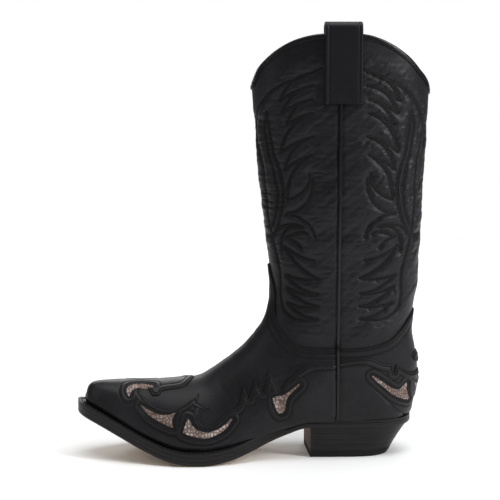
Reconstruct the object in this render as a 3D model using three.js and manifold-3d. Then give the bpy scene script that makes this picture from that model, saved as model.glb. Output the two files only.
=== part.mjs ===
// Left pull-on western boot with a scalloped leg, a stitched welt and an undershot stacked heel.
// Millimetres. +X points to the toe, +Y to the outer side of the foot, +Z up.
// The origin is the middle of the heel's ground face.

import * as THREE from 'three';
import { mergeVertices } from 'three/addons/utils/BufferGeometryUtils.js';
import Module from 'manifold-3d';

const wasm = await Module();
wasm.setup();

const { lerp, clamp, smoothstep } = THREE.MathUtils;

// ---------------------------------------------------------------------------
// Driving dimensions
// ---------------------------------------------------------------------------

// Last (the foot shape inside the leathers)
const lastLength = 290;
const lastWidth = 83;
const ankleHeight = 150;

// Leg
const shaftHeight = 379;
const shaftDepth = 165;
const shaftBreadth = 76;

// Heel
const heelHeight = 28;
const heelBaseLength = 75;
const heelBaseWidth = 55;
const heelLiftCount = 4;
const topLiftThickness = 5.5;
const heelSeatInset = 2;

// Sole
const toeSpring = 40;
const outsoleThickness = 4.5;
const midsoleThickness = 3.5;
const weltThickness = 3;
const randThickness = 2;
const insoleThickness = 3;
const seatMargin = 3.5;
const ballMargin = 8.5;
const toeMargin = 10.4;
const weltSeat = 7;
const bluntEnd = 3;

// Leathers
const shaftLeather = 1.2;
const liningLeather = 1;
const vampLeather = 1.4;
const overlayLeather = 1;
const inlayLeather = 0.8;
const bindingLeather = 0.8;
const bindingDepth = 4;
const lapWidth = 8;
const pipingWidth = 3.4;
const pipingRise = 2;

// Pull straps
const strapWidth = 33;
const strapThickness = 2.6;
const strapRise = 10;
const strapOuterDrop = 70.5;
const strapInnerDrop = 55;
const strapOffset = 4;

// Hidden parts
const heelPadThickness = 2;
const heelPadEnd = 42;
const shankLength = 112;
const shankWidth = 14;
const shankThickness = 1.2;
const shankBack = -24;
const nailDiameter = 2.4;
const pegDiameter = 2.8;

// Fits
const gap = 0.3;
const seatReach = 1.5;
const lastingDrop = 6;
const far = 600;

// ---------------------------------------------------------------------------
// Grading: the patterns below are drawn for a boot of these sizes
// ---------------------------------------------------------------------------

const drawnLength = 290;
const drawnWidth = 83;
const drawnHeight = 379;
const drawnDepth = 165;
const drawnBreadth = 76;
const legAxis = 12;
const innerLean = 11;
const innerLeanStart = 112;
const innerLeanWidth = 44;
const seam = 14;

const grade = lastLength / drawnLength;
const widen = lastWidth / drawnWidth;

// How far up the leg a height is, 0 at the ankle and 1 at the top.
const legShare = (z, top) => clamp((z - ankleHeight) / (top - ankleHeight), 0, 1.1);

// A point of a leg pattern, drawn as distance forward and height above the ground.
function onLeg([x, z]) {
  const spread = lerp(1, shaftDepth / drawnDepth / grade, legShare(z, drawnHeight));
  const rise = (shaftHeight - ankleHeight) / (drawnHeight - ankleHeight);
  const height = z > ankleHeight ? ankleHeight + (z - ankleHeight) * rise : z;
  return [grade * (legAxis + (x - legAxis) * spread), height];
}

// A point of a foot pattern, drawn as distance forward and height above the feather line.
const onFoot = ([x, height]) => [grade * x, soleTop(grade * x) + height];

const seamX = grade * seam;

// ---------------------------------------------------------------------------
// Curves
// ---------------------------------------------------------------------------

// A smooth function through knots [x, y] that doesn't overshoot them.
function through(knots) {
  const last = knots.length - 1;
  const slope = (i) => (knots[i + 1][1] - knots[i][1]) / (knots[i + 1][0] - knots[i][0]);
  const tangent = (i) => {
    if (i === 0) return slope(0);
    if (i === last) return slope(last - 1);
    const before = slope(i - 1);
    const after = slope(i);
    return before * after <= 0 ? 0 : (2 * before * after) / (before + after);
  };
  return (x) => {
    if (x <= knots[0][0]) return knots[0][1];
    if (x >= knots[last][0]) return knots[last][1];
    const i = knots.findIndex((knot) => knot[0] > x) - 1;
    const width = knots[i + 1][0] - knots[i][0];
    const t = (x - knots[i][0]) / width;
    const start = knots[i][1] * (1 + 2 * t) * (1 - t) ** 2 + tangent(i) * width * t * (1 - t) ** 2;
    const end = knots[i + 1][1] * t * t * (3 - 2 * t) + tangent(i + 1) * width * t * t * (t - 1);
    return start + end;
  };
}

// Underside of the outsole: level under the heel seat, down through the waist, up to the toe.
// Waist knots are distances forward of the level seat, with shares of the heel height.
const breast = heelBaseLength / 2;
const seatEnd = breast + seatReach;
const waistKnots = [[6, 0.965], [18, 0.817], [36, 0.58], [52, 0.345], [74, 0.1]];
const toeKnots = [[135, 0], [150, 0.012], [165, 0.08], [185, 0.27], [209, 0.57], [230, 0.83], [246, 1]];
const soleBottom = through([
  [seatEnd - heelBaseLength, heelHeight],
  [seatEnd, heelHeight],
  ...waistKnots.map(([forward, share]) => [seatEnd + grade * forward, heelHeight * share]),
  ...toeKnots.map(([x, share]) => [grade * x, toeSpring * share]),
]);

// The midsole and the full welt thickness start in the waist, forward of the heel breast.
const waistRise = (x) => smoothstep(x, grade * 46, grade * 95);
const weltBottom = (x) => soleBottom(x) + outsoleThickness + gap + (midsoleThickness + gap) * waistRise(x);
const soleTop = (x) => weltBottom(x) + lerp(randThickness, weltThickness, waistRise(x));

// Plan of the last's bottom: its centre line and half width along the foot.
const lastHalf = through(
  [
    [-54, 2], [-53.5, 6], [-51, 12.5], [-46, 20], [-38, 25.5], [-26, 28.7], [-10, 29.3], [10, 28],
    [35, 24.5], [60, 22.5], [80, 25], [100, 31], [120, 37.3], [140, 41.3], [155, 41.2], [170, 37.8],
    [185, 32.5], [200, 26.5], [212, 21], [222, 15.8], [230, 11], [233.5, 8.3], [235.6, 4.5],
  ].map(([x, half]) => [grade * x, widen * half]),
);
const lastCentre = through(
  [[-60, 0], [0, 0], [50, 2.5], [100, 2], [140, -0.5], [180, -3], [236, -5.5]].map(([x, y]) => [grade * x, widen * y]),
);

// ---------------------------------------------------------------------------
// The last: rings from the toe tip up the instep to the top of the leg
// ---------------------------------------------------------------------------

// Each row: front line point, back or bottom line point, half width, where it is widest, squareness.
// Foot rows give heights above the feather line and end on the bottom of the last.
const footRows = [
  [235.6, 8.5, 235.6, 4.5, 0.55, 2.3],
  [234.6, 13, 234.6, 7.6, 0.6, 2.3],
  [231, 18.5, 231, 10.8, 0.68, 2.3],
  [222, 24, 222, 16.4, 0.74, 2.2],
  [205, 33, 205, 25.3, 0.78, 2.1],
  [185, 43, 184, 34, 0.8, 2],
  [165, 51.2, 161, 41.2, 0.8, 2],
  [148, 55.7, 140, 42.5, 0.8, 2],
  [135, 58.7, 120, 40, 0.8, 2],
  [122, 65.2, 98, 36, 0.78, 1.95],
  [108, 72.8, 72, 33, 0.74, 1.95],
  [95, 79, 42, 32.5, 0.7, 1.95],
  [84.5, 88, 10, 32.5, 0.66, 2],
  [77, 96, -18, 32.5, 0.62, 2],
  [73, 107, -40, 32.5, 0.6, 2],
  [71, 118, -53.5, 32.5, 0.58, 2],
];
// Leg rows give heights above the ground and end on the back line.
const legRows = [
  [71, 156, -58, 47, 33, 0.55, 2],
  [72, 168, -62.3, 62, 33.3, 0.52, 2],
  [73.3, 180, -62.3, 78, 33.6, 0.5, 2],
  [74.5, 192, -59.6, 95, 34, 0.5, 2],
  [75.6, 204, -57, 114, 34.5, 0.5, 2],
  [77, 217, -59.4, 136, 35, 0.5, 2],
  [78.7, 231, -62.3, 160, 36, 0.5, 2],
  [81.5, 255, -64.6, 207, 37.3, 0.5, 2],
  [84.8, 292, -67.3, 270, 38, 0.5, 2],
  [88.5, 333, -70.6, 328, 38, 0.5, 2],
  [92.3, 394, -73, 394, 38, 0.5, 2],
];

function footRow([frontX, frontHeight, bottomX, half, widest, square]) {
  const bottom = [grade * bottomX, soleTop(grade * bottomX) - lastingDrop];
  return [...onFoot([frontX, frontHeight]), ...bottom, widen * half, widest, square];
}

function legRow([frontX, frontZ, backX, backZ, half, widest, square]) {
  const breadth = lerp(widen, shaftBreadth / drawnBreadth, legShare(frontZ, drawnHeight));
  return [...onLeg([frontX, frontZ]), ...onLeg([backX, backZ]), breadth * half, widest, square];
}

// Points down one side of a ring: over the top, under the bulge, across the bottom.
const topSteps = 5;
const sideSteps = 9;
const bottomStart = 8;
const flatWidth = 8;

// A point of the last's surface, at a step from the front line (0) to the back line (sideSteps).
function surfacePoint(row, step, side) {
  const [frontX, frontZ, backX, backZ, half, widest, square] = row;
  const bottomHalf = backX < grade * -53.9 ? 0 : lastHalf(backX);
  const feather = lerp(sideSteps, bottomStart, clamp(bottomHalf / flatWidth, 0, 1));
  let along = 1;
  let out = (bottomHalf * (sideSteps - step)) / Math.max(sideSteps - feather, 1e-6);
  if (step <= topSteps) {
    const turn = (step / topSteps) * (Math.PI / 2);
    along = widest * (1 - Math.max(Math.cos(turn), 0) ** (2 / square));
    out = half * Math.sin(turn) ** (2 / square);
  } else if (step <= feather) {
    const turn = ((step - topSteps) / (feather - topSteps)) * (Math.PI / 2);
    along = widest + (1 - widest) * Math.sin(turn) ** (2 / square);
    out = bottomHalf + (half - bottomHalf) * Math.max(Math.cos(turn), 0) ** (2 / square);
  }
  const x = lerp(frontX, backX, along);
  const z = lerp(frontZ, backZ, along);
  const centre = lastCentre(x) * (1 - legShare(z, shaftHeight));
  return new THREE.Vector3(x, centre + side * out, z);
}

// A whole ring, from the front line down the outer side and up the inner side.
function ringPoints(row) {
  const steps = [...Array(ringSize).keys()];
  return steps.map((step) =>
    step <= sideSteps ? surfacePoint(row, step, 1) : surfacePoint(row, ringSize - step, -1),
  );
}

const ringSize = 2 * sideSteps;
const rings = [...footRows.map(footRow), ...legRows.map(legRow)].map(ringPoints);

// The outward direction at each ring point, from its four neighbours.
function outward(ring, step) {
  const before = rings[Math.max(ring - 1, 0)][step];
  const after = rings[Math.min(ring + 1, rings.length - 1)][step];
  const left = rings[ring][(step + 1) % ringSize];
  const right = rings[ring][(step + ringSize - 1) % ringSize];
  const along = after.clone().sub(before);
  const around = left.clone().sub(right);
  const direction = around.cross(along).normalize();
  return ring === 0 ? direction.add(new THREE.Vector3(1, 0, 0)).normalize() : direction;
}

const outwards = rings.map((ring, index) => ring.map((_, step) => outward(index, step)));
const middleOf = (points) => points.reduce((sum, p) => sum.add(p), new THREE.Vector3()).divideScalar(points.length);

// ---------------------------------------------------------------------------
// Solids
// ---------------------------------------------------------------------------

function solid(geometry) {
  geometry.deleteAttribute('normal');
  geometry.deleteAttribute('uv');
  const merged = mergeVertices(geometry);
  const vertProperties = merged.attributes.position.array;
  const triVerts = new Uint32Array(merged.index.array);
  return new wasm.Manifold(new wasm.Mesh({ numProp: 3, vertProperties, triVerts }));
}

function indexed(points, triangles) {
  const geometry = new THREE.BufferGeometry();
  geometry.setFromPoints(points);
  geometry.setIndex(triangles.flat());
  return geometry;
}

// A closed tube of rings with a fan at each end.
function closedTube(loops, startMiddle, endMiddle) {
  const size = loops[0].length;
  const start = loops.length * size;
  const triangles = [];
  for (let ring = 0; ring < loops.length - 1; ring += 1) {
    for (let step = 0; step < size; step += 1) {
      const a = ring * size + step;
      const b = ring * size + ((step + 1) % size);
      triangles.push([a, b, b + size], [a, b + size, a + size]);
    }
  }
  const top = start - size;
  for (let step = 0; step < size; step += 1) {
    const next = (step + 1) % size;
    triangles.push([start, next, step], [start + 1, top + step, top + next]);
  }
  return indexed([...loops.flat(), startMiddle, endMiddle], triangles);
}

// Everything inside the last's surface moved out by a distance.
const lasts = new Map();
function last(distance) {
  const key = distance.toFixed(3);
  if (!lasts.has(key)) {
    const loops = rings.map((ring, index) =>
      ring.map((point, step) => point.clone().addScaledVector(outwards[index][step], distance)),
    );
    const tip = middleOf(loops[0]);
    tip.x = Math.max(tip.x, rings[0][0].x + distance);
    lasts.set(key, solid(closedTube(loops, tip, middleOf(loops[rings.length - 1]))));
  }
  return lasts.get(key);
}

// A leather layer between two distances from the last.
const layer = ([inner, outer]) => last(outer).subtract(last(inner));

// An outline in side view, carried across the boot between two places.
function across(outline, from = -far, to = far) {
  const shape = new THREE.Shape(outline.map(([x, z]) => new THREE.Vector2(x, z)));
  const geometry = new THREE.ExtrudeGeometry(shape, { depth: to - from, bevelEnabled: false });
  geometry.rotateX(Math.PI / 2);
  geometry.translate(0, to, 0);
  return solid(geometry);
}

// An outline in plan, carried up between two heights.
function upright(outline, from = -far, to = far) {
  const shape = new THREE.Shape(outline.map(([x, y]) => new THREE.Vector2(x, y)));
  const geometry = new THREE.ExtrudeGeometry(shape, { depth: to - from, bevelEnabled: false });
  geometry.translate(0, 0, from);
  return solid(geometry);
}

const rectangle = (x0, x1, z0, z1) => [[x0, z0], [x1, z0], [x1, z1], [x0, z1]];
const between = (x0, x1) => across(rectangle(x0, x1, -far, far));
const extended = (curve) => [[-far, curve[0][1]], ...curve, [far, curve.at(-1)[1]]];
const above = (curve) => across([...extended(curve), [far, far], [-far, far]]);
const below = (curve) => across([...extended(curve), [far, -far], [-far, -far]]);

// Places along the whole foot, for side profiles that follow the sole. The heel seat is level.
const soleSteps = 24;
const soleEnds = [-90, 252].map((x) => grade * x);
const alongSole = [
  soleEnds[0],
  ...[...Array(soleSteps + 1).keys()].map((i) => lerp(seatEnd, soleEnds[1], i / soleSteps)),
];
const followSole = (height) => alongSole.map((x) => [x, height(x)]);
const underUpper = below(followSole((x) => soleTop(x) + gap));

// A side profile between two heights over the sole.
const soleBand = (low, high) => below(followSole(high)).subtract(below(followSole(low)));

// An outline moved outward by a distance, or inward when it is negative.
function grow(outline, distance) {
  const distanceAt = typeof distance === 'function' ? distance : () => distance;
  const turn = Math.sign(THREE.ShapeUtils.area(outline.map(([x, y]) => new THREE.Vector2(x, y))));
  return outline.map(([x, y], i) => {
    const [bx, by] = outline.at(i - 1);
    const [ax, ay] = outline[(i + 1) % outline.length];
    const first = new THREE.Vector2(y - by, bx - x).normalize();
    const second = new THREE.Vector2(ay - y, x - ax).normalize();
    const corner = first.clone().add(second).normalize();
    const reach = (turn * distanceAt(x)) / Math.max(corner.dot(first), 0.5);
    return [x + corner.x * reach, y + corner.y * reach];
  });
}

// An open curve moved to its right by a distance.
function shiftRight(curve, distance) {
  return curve.map(([x, z], i) => {
    const [bx, bz] = curve[Math.max(i - 1, 0)];
    const [ax, az] = curve[Math.min(i + 1, curve.length - 1)];
    const along = new THREE.Vector2(ax - bx, az - bz).normalize();
    return [x + along.y * distance, z - along.x * distance];
  });
}

const lower = (curve, drop) => curve.map(([x, z]) => [x, z - drop]);

// ---------------------------------------------------------------------------
// Leather levels, measured out from the last's surface
// ---------------------------------------------------------------------------

const shaftLevel = [-shaftLeather, 0];
const liningOuter = -shaftLeather - gap;
const liningLevel = [liningOuter - liningLeather, liningOuter];
const vampLevel = [gap, gap + vampLeather];
const overlayInner = vampLevel[1] + gap;
const overlayLevel = [overlayInner, overlayInner + overlayLeather];
const inlayLevel = [overlayInner, overlayInner + inlayLeather];
const roomInside = liningLevel[0] - gap;

// ---------------------------------------------------------------------------
// Pattern outlines, in side view
// ---------------------------------------------------------------------------

// Topline from the back dip over the side peak to the front dip.
const topline = [
  [-71, 322], [-70.2, 329], [-68, 336], [-64, 341.8], [-58.5, 347.4], [-53.5, 353],
  [-48, 358.3], [-41, 363.5], [-32, 369], [-21, 374], [-8, 377.6], [12, 379], [34.5, 377.8],
  [50, 374.3], [61, 369.5], [69.5, 364], [75, 359.3], [80, 354], [84, 348], [87.2, 338],
  [88.9, 330], [88.5, 322],
].map(onLeg);

// Top edge of the vamp, from the side seam up the tongue to its tip on the front line.
const vampEdge = [
  [seam, 101.2], [33, 101.5], [48, 102.8], [57, 108.2], [65, 119], [67.5, 127.7], [67.8, 136.5],
  [67, 150], [69, 157], [70.8, 165], [72.3, 173], [74.5, 180], [82, 184],
].map(onLeg);

// Top edge of the counter cover, from the back line to the side seam.
const counterEdge = [
  [-66, 139], [-62.4, 138.4], [-58.7, 131.5], [-53.1, 124.2], [-45.4, 115.8], [-34, 107],
  [-21.5, 103], [-6.3, 101], [seam, 100.6],
].map(onLeg);

// Join between the leg linings and the foot linings.
const liningJoin = [[-60, 112], [seam, 103], [75, 116]].map(onLeg);

// Top edge of the front foxing: up from the seam line, the flames, then the scroll over the toe.
const frontFoxingEdge = [
  [seam, 53], [30, 53.9], [41, 51.8], [52, 48.3], [61, 42.6], [66, 35.8], [69, 44.1], [76, 55.2],
  [81, 37.9], [88, 49.8], [94, 36.5], [98, 49.7], [104, 34.5], [113, 31.1], [128, 23], [136, 23.1],
  [139, 28.1], [136, 33.8], [128, 37.7], [138, 46], [136, 56], [140, 51.1], [144, 47.1],
  [151, 43.2], [162, 37.4], [172, 33.9], [182, 34.3], [189, 38.2], [187, 42.1], [182, 43.8],
  [178, 40.7], [171, 45.5], [168, 50], [151, 55.2], [142, 58.6], [136, 64], [136, 90],
].map(onFoot);

// Top edge of the heel foxing, from the back line to the side seam, with its scroll and notch.
const heelFoxingEdge = [
  [-63, 58], [-57, 58.3], [-55.5, 54.3], [-57.6, 49.8], [-63, 46.2], [-63, 41.5],
  [-56.4, 40.1], [-48.7, 42.9], [-38.5, 50.1], [-36.6, 42.1], [-35.1, 50.4], [-27, 51.6],
  [-15, 56.9], [-5, 58.4], [3, 57.7], [seam, 54.6],
].map(onFoot);

// Outlines of the snake-skin inlays on each side of the foot.
const inlayOutlines = {
  toe_crescent: [
    [198, 26.5], [202, 30], [201, 35], [196, 39.5], [187, 44.4], [177, 47.4], [177, 45.2],
    [187, 41.8], [193.5, 38], [197.5, 34], [198.5, 30.5],
  ],
  toe_wedge: [
    [192, 26.3], [183, 21.5], [173.9, 20], [161, 18.5], [161, 26.3], [157, 33.7], [164, 29.8],
    [172, 27], [182, 25.9],
  ],
  ball_wing: [
    [153.5, 16.5], [147.7, 31.1], [144, 23.5], [138, 19.4], [129, 17.6], [118, 20.6], [109.5, 25.9],
    [107.8, 24.1], [115, 17], [125.5, 13.3], [134, 12.3], [144, 13.6],
  ],
  waist_bird: [
    [73.2, 31.5], [66, 32], [62, 31.8], [48.6, 38.4], [47.4, 36.2], [59.2, 27.5], [61.8, 16.5],
    [67.7, 15.5], [71.5, 24],
  ],
  heel_wing: [
    [-12.3, 44.8], [-24.2, 37.2], [-36.8, 28.2], [-42.7, 26.6], [-48.6, 33], [-50.6, 31.4],
    [-51, 23.2], [-53.6, 15.8], [-50, 14.4], [-37.1, 20.4], [-30.2, 26.5], [-18.9, 36.8],
  ],
};

// Outline of the inlay that wraps the back of the heel.
const heelBackOutline = [
  [-57.3, 30.4], [-61.2, 27], [-65, 29.7], [-110, 29.7], [-110, 12.7], [-63, 12.7], [-60.6, 22],
];

// ---------------------------------------------------------------------------
// Upper
// ---------------------------------------------------------------------------

const slotHalf = pipingWidth / 2 + gap;
const strapTop = shaftHeight + strapRise;
const strapBottom = strapTop - strapOuterDrop;
const panelTop = lower(topline, bindingLeather + gap);
const belowTop = below(panelTop);
const seamSlot = across(rectangle(seamX - slotHalf, seamX + slotHalf, -far, strapBottom));
const front = between(seamX + gap / 2, far);
const back = between(-far, seamX - gap / 2);

// The shaft panels end a lap's width below the edge of the leather over them.
const vampLap = shiftRight(vampEdge, lapWidth);
const counterLap = lower(counterEdge, lapWidth);

function upperPanel(level, half) {
  return layer(level).intersect(half).subtract(underUpper);
}

const shaftFront = upperPanel(shaftLevel, front).intersect(belowTop).subtract(seamSlot).subtract(below(vampLap));
const shaftBack = upperPanel(shaftLevel, back)
  .intersect(belowTop)
  .subtract(seamSlot)
  .subtract(below(counterLap));

const liningFront = upperPanel(liningLevel, front).intersect(belowTop).intersect(above(liningJoin));
const liningBack = upperPanel(liningLevel, back).intersect(belowTop).intersect(above(liningJoin));
const underJoin = below(lower(liningJoin, gap));
const vampLining = upperPanel(liningLevel, front).intersect(underJoin);
const heelLining = upperPanel(liningLevel, back).intersect(underJoin);

const vamp = upperPanel(vampLevel, front).intersect(below(vampEdge)).subtract(seamSlot);
const counterCover = upperPanel(vampLevel, back).intersect(below(counterEdge)).subtract(seamSlot);

// Between the vamp and its lining: a stiff puff at the toe, a soft backing behind it.
const puffEdge = [[192, -20], [186, 20], [190, 70]].map(onFoot);
const aheadOfPuffEdge = (shift) => across([
  ...puffEdge.map(([x, z]) => [x + shift, z]), [far, puffEdge.at(-1)[1]], [far, puffEdge[0][1]],
]);
const midLayer = upperPanel(shaftLevel, front).subtract(seamSlot).intersect(below(shiftRight(vampLap, gap)));
const toePuff = midLayer.intersect(aheadOfPuffEdge(gap));
const vampBacking = midLayer.subtract(aheadOfPuffEdge(0));
const counterStiffener = upperPanel(shaftLevel, back).subtract(seamSlot).intersect(below(lower(counterLap, gap)));

// Foxings, with windows for the inlays.
const windows = Object.values(inlayOutlines).map((outline) => across(grow(outline.map(onFoot), gap)));
const cutWindows = (piece) => windows.reduce((rest, window) => rest.subtract(window), piece);
const backWindow = across(grow(heelBackOutline.map(onFoot), gap));
const frontFoxing = cutWindows(upperPanel(overlayLevel, front).intersect(below(frontFoxingEdge)).subtract(seamSlot));
const heelFoxing = cutWindows(upperPanel(overlayLevel, back).intersect(below(heelFoxingEdge)).subtract(seamSlot))
  .subtract(backWindow);

// Side of the boot that a piece lies on, split along the middle of the toe.
const splitY = -3;
const sides = { lateral: [splitY, far], medial: [-far, splitY] };
const inlayLayer = layer(inlayLevel).subtract(underUpper);
const inlayOn = (outline, side) => inlayLayer.intersect(across(outline.map(onFoot), ...sides[side]));

// ---------------------------------------------------------------------------
// Seam piping, topline binding and pull straps
// ---------------------------------------------------------------------------

const slotFill = (z0, z1) => across(rectangle(seamX - pipingWidth / 2, seamX + pipingWidth / 2, z0, z1));
const pipingStep = onLeg([seam, 101])[1];
const legPiping = layer([-shaftLeather, pipingRise]).intersect(slotFill(pipingStep, strapBottom - gap));
const footPiping = layer([-shaftLeather, overlayLevel[1] + gap]).intersect(slotFill(-far, pipingStep + 1));
const piping = legPiping.add(footPiping).subtract(underUpper);
const onSide = (piece, side) => piece.intersect(upright([
  [-far, sides[side][0]], [far, sides[side][0]], [far, sides[side][1]], [-far, sides[side][1]],
]));

const bindingOuter = gap + bindingLeather;
const bindingInner = roomInside - bindingLeather;
const bindingBody = layer([bindingInner, bindingOuter]).intersect(below(topline)).intersect(
  above(lower(topline, bindingDepth)),
);
const bindingRoom = layer([roomInside, gap]).intersect(below(lower(topline, bindingLeather)));
const binding = bindingBody.subtract(bindingRoom);

// The leg's half breadth at the side seam, at a height.
const sidePoints = rings.slice(-legRows.length).map((ring) => ring[topSteps]).map((p) => [p.z, p.y]);
const sideReach = through(sidePoints);

// How far the rounded side of the leg falls away at the edges of the flat strap.
const strapBow = (shaftBreadth / 2) * (1 - Math.sqrt(1 - ((strapWidth / 2 + strapOffset) / (shaftDepth / 2)) ** 2));

// Side profile of a strap: up the outside, over the topline in a round arch, down the inside.
function strapProfile() {
  const side = sideReach(shaftHeight);
  const outer = bindingOuter + 2 * gap;
  const inner = bindingInner - gap - strapBow;
  const radius = (outer - inner) / 2;
  const middle = side + (outer + inner) / 2;
  const springing = strapTop - strapThickness - radius;
  const outside = [];
  const inside = [];
  const arcSteps = 8;
  for (let i = 0; i <= arcSteps; i += 1) {
    const turn = (Math.PI * i) / arcSteps;
    const ends = [Math.cos(turn), Math.sin(turn)];
    outside.push([middle + ends[0] * (radius + strapThickness), springing + ends[1] * (radius + strapThickness)]);
    inside.push([middle + ends[0] * radius, springing + ends[1] * radius]);
  }
  const outerFoot = sideReach(strapBottom) - side;
  const innerBottom = strapTop - strapInnerDrop;
  const innerFoot = sideReach(innerBottom) - side;
  return [
    [middle + radius + strapThickness + outerFoot, strapBottom],
    ...outside,
    [middle - radius - strapThickness + innerFoot, innerBottom],
    [middle - radius + innerFoot, innerBottom],
    ...inside.reverse(),
    [middle + radius + outerFoot, strapBottom],
  ];
}

// The strap's profile stands in the YZ plane and is as wide as the strap along X.
function strapGeometry(side) {
  const points = strapProfile().map(([y, z]) => new THREE.Vector2(side * y, z));
  const shape = new THREE.Shape(points);
  const geometry = new THREE.ExtrudeGeometry(shape, { depth: strapWidth, bevelEnabled: false });
  const axes = new THREE.Matrix4().makeBasis(
    new THREE.Vector3(0, 1, 0),
    new THREE.Vector3(0, 0, 1),
    new THREE.Vector3(1, 0, 0),
  );
  geometry.applyMatrix4(axes);
  geometry.translate(grade * legAxis - strapWidth / 2, 0, 0);
  return geometry;
}

// ---------------------------------------------------------------------------
// Sole and heel
// ---------------------------------------------------------------------------

const outlineSteps = 26;
const outlineX = (i) => grade * lerp(-54, 235.6, (1 - Math.cos((Math.PI * i) / outlineSteps)) / 2);

// Plan outline of the last, up the outer side and back down the inner side.
function lastOutline() {
  const places = [...Array(outlineSteps + 1).keys()].map(outlineX);
  const outer = places.map((x) => [x, lastCentre(x) + lastHalf(x)]);
  const inner = places.map((x) => [x, lastCentre(x) - lastHalf(x)]);
  return [...inner, ...outer.reverse()];
}

const marginAt = through([[-60, seatMargin], [40, seatMargin], [120, ballMargin], [200, ballMargin], [236, toeMargin]]
  .map(([x, margin]) => [grade * x, margin]));
const soleOutline = grow(lastOutline(), marginAt);
const outlineMinus = (inset) => grow(soleOutline, -inset);

// Plan outline inside the last's, blunt at the toe and the heel.
function insideLast(inset) {
  const heelEnd = outlineX(0) + inset;
  const toeEnd = outlineX(outlineSteps) - inset;
  const share = (x) => (x - outlineX(0)) / (outlineX(outlineSteps) - outlineX(0));
  const places = [...Array(outlineSteps + 1).keys()].map(outlineX).filter((x) => lastHalf(x) > inset + bluntEnd);
  const edge = (side) => places.map((x) => [
    lerp(heelEnd, toeEnd, share(x)), lastCentre(x) + side * (lastHalf(x) - inset),
  ]);
  return [...edge(-1), ...edge(1).reverse()];
}

// A plate that follows the sole's curve inside a plan outline.
const plate = (outline, low, high) => soleBand(low, high).intersect(upright(outline));

const weltStart = breast + 1;
const midsoleStart = grade * 60;
const weltTop = soleTop;
const outsoleTop = (x) => soleBottom(x) + outsoleThickness;
const midsoleTop = (x) => weltBottom(x) - gap;
const ribRoom = upright(insideLast(weltSeat));
const weltRing = plate(soleOutline, weltBottom, weltTop);
const welt = weltRing.intersect(between(weltStart, far)).subtract(ribRoom);
const heelRand = weltRing.intersect(between(-far, weltStart - gap)).subtract(ribRoom);
const midsole = plate(outlineMinus(0.4), (x) => outsoleTop(x) + gap, midsoleTop).intersect(between(midsoleStart, far));

// Filler inside the welt, and the steel shank let into it under the waist.
const shankFront = shankBack + shankLength;
const shankPlan = (clearance) => rectangle(
  shankBack - clearance, shankFront + clearance, -shankWidth / 2 - clearance, shankWidth / 2 + clearance,
).map(([x, y]) => [x, y + lastCentre(x)]);
const shankBottom = (x) => weltBottom(x) + gap;
const shank = soleBand(shankBottom, (x) => shankBottom(x) + shankThickness).intersect(upright(shankPlan(0)));
const filler = plate(insideLast(weltSeat + gap), weltBottom, weltTop).subtract(upright(shankPlan(gap)));

const insoleBottom = (x) => soleTop(x) + gap;
const insoleTop = (x) => insoleBottom(x) + insoleThickness;
const insole = last(roomInside).intersect(soleBand(insoleBottom, insoleTop));
const heelPad = last(roomInside - gap)
  .intersect(soleBand((x) => insoleTop(x) + gap, (x) => insoleTop(x) + gap + heelPadThickness))
  .intersect(between(-far, grade * heelPadEnd));

// Pegs hold the waist, nails hold the heel: a round hole in each piece that they pass through.
const roundHole = (diameter, [x, y], z0, z1) => {
  const geometry = new THREE.CylinderGeometry(diameter / 2, diameter / 2, z1 - z0, 8);
  geometry.rotateX(Math.PI / 2);
  geometry.translate(x, y, (z0 + z1) / 2);
  return solid(geometry);
};
const pegPlaces = [50, 62, 74].flatMap((x) => [-1, 1].map((side) => {
  const px = grade * x;
  return [px, lastCentre(px) + side * (lastHalf(px) - 6)];
}));
const nailPlaces = [[-30, 0], [-12, 14], [-12, -14], [18, 12], [18, -12]];
const drill = (piece, places, diameter) => places.reduce(
  (rest, place) => rest.subtract(roundHole(diameter + 2 * gap, place, -far, far)),
  piece,
);
const outsole = drill(plate(soleOutline, soleBottom, outsoleTop), pegPlaces, pegDiameter);
const pegTop = ([x]) => outsoleTop(x + pegDiameter) - gap;
const pegs = pegPlaces.map((place) => roundHole(pegDiameter, place, soleBottom(place[0]), pegTop(place)));

// The heel narrows from the seat down to its ground face.
const heelPlaces = outlineMinus(heelSeatInset).filter(([x]) => x < breast - 4);
const cornerHalf = (side) => lastCentre(breast) + side * (lastHalf(breast) + seatMargin - heelSeatInset);
const innerEdge = heelPlaces.slice(0, heelPlaces.length / 2);
const outerEdge = heelPlaces.slice(heelPlaces.length / 2);
const seatOutline = [...innerEdge, [breast, cornerHalf(-1)], [breast, cornerHalf(1)], ...outerEdge];
const seatBack = Math.min(...seatOutline.map(([x]) => x));
const seatHalf = Math.max(...seatOutline.map(([, y]) => y));
function heelSection(height) {
  const up = height / heelHeight;
  const lengthShare = lerp(heelBaseLength / (breast - seatBack), 1, up);
  const widthShare = lerp(heelBaseWidth / 2 / seatHalf, 1, up);
  return seatOutline.map(([x, y]) => new THREE.Vector3(breast - (breast - x) * lengthShare, y * widthShare, height));
}

function heelLayer(low, high) {
  const loops = [heelSection(low), heelSection(high)];
  return solid(closedTube(loops, middleOf(loops[0]), middleOf(loops[1])));
}

const liftThickness = (heelHeight - topLiftThickness - gap * (heelLiftCount + 1)) / heelLiftCount;
const liftBottom = (index) => topLiftThickness + gap + index * (liftThickness + gap);
const topLift = heelLayer(0, topLiftThickness);
const lifts = [...Array(heelLiftCount).keys()].map((index) =>
  drill(heelLayer(liftBottom(index), liftBottom(index) + liftThickness), nailPlaces, nailDiameter),
);
const nailBottom = liftBottom(0) + 1;
const nails = nailPlaces.map((place) => roundHole(nailDiameter, place, nailBottom, heelHeight - gap));

// ---------------------------------------------------------------------------
// Materials and the assembly
// ---------------------------------------------------------------------------

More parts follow.
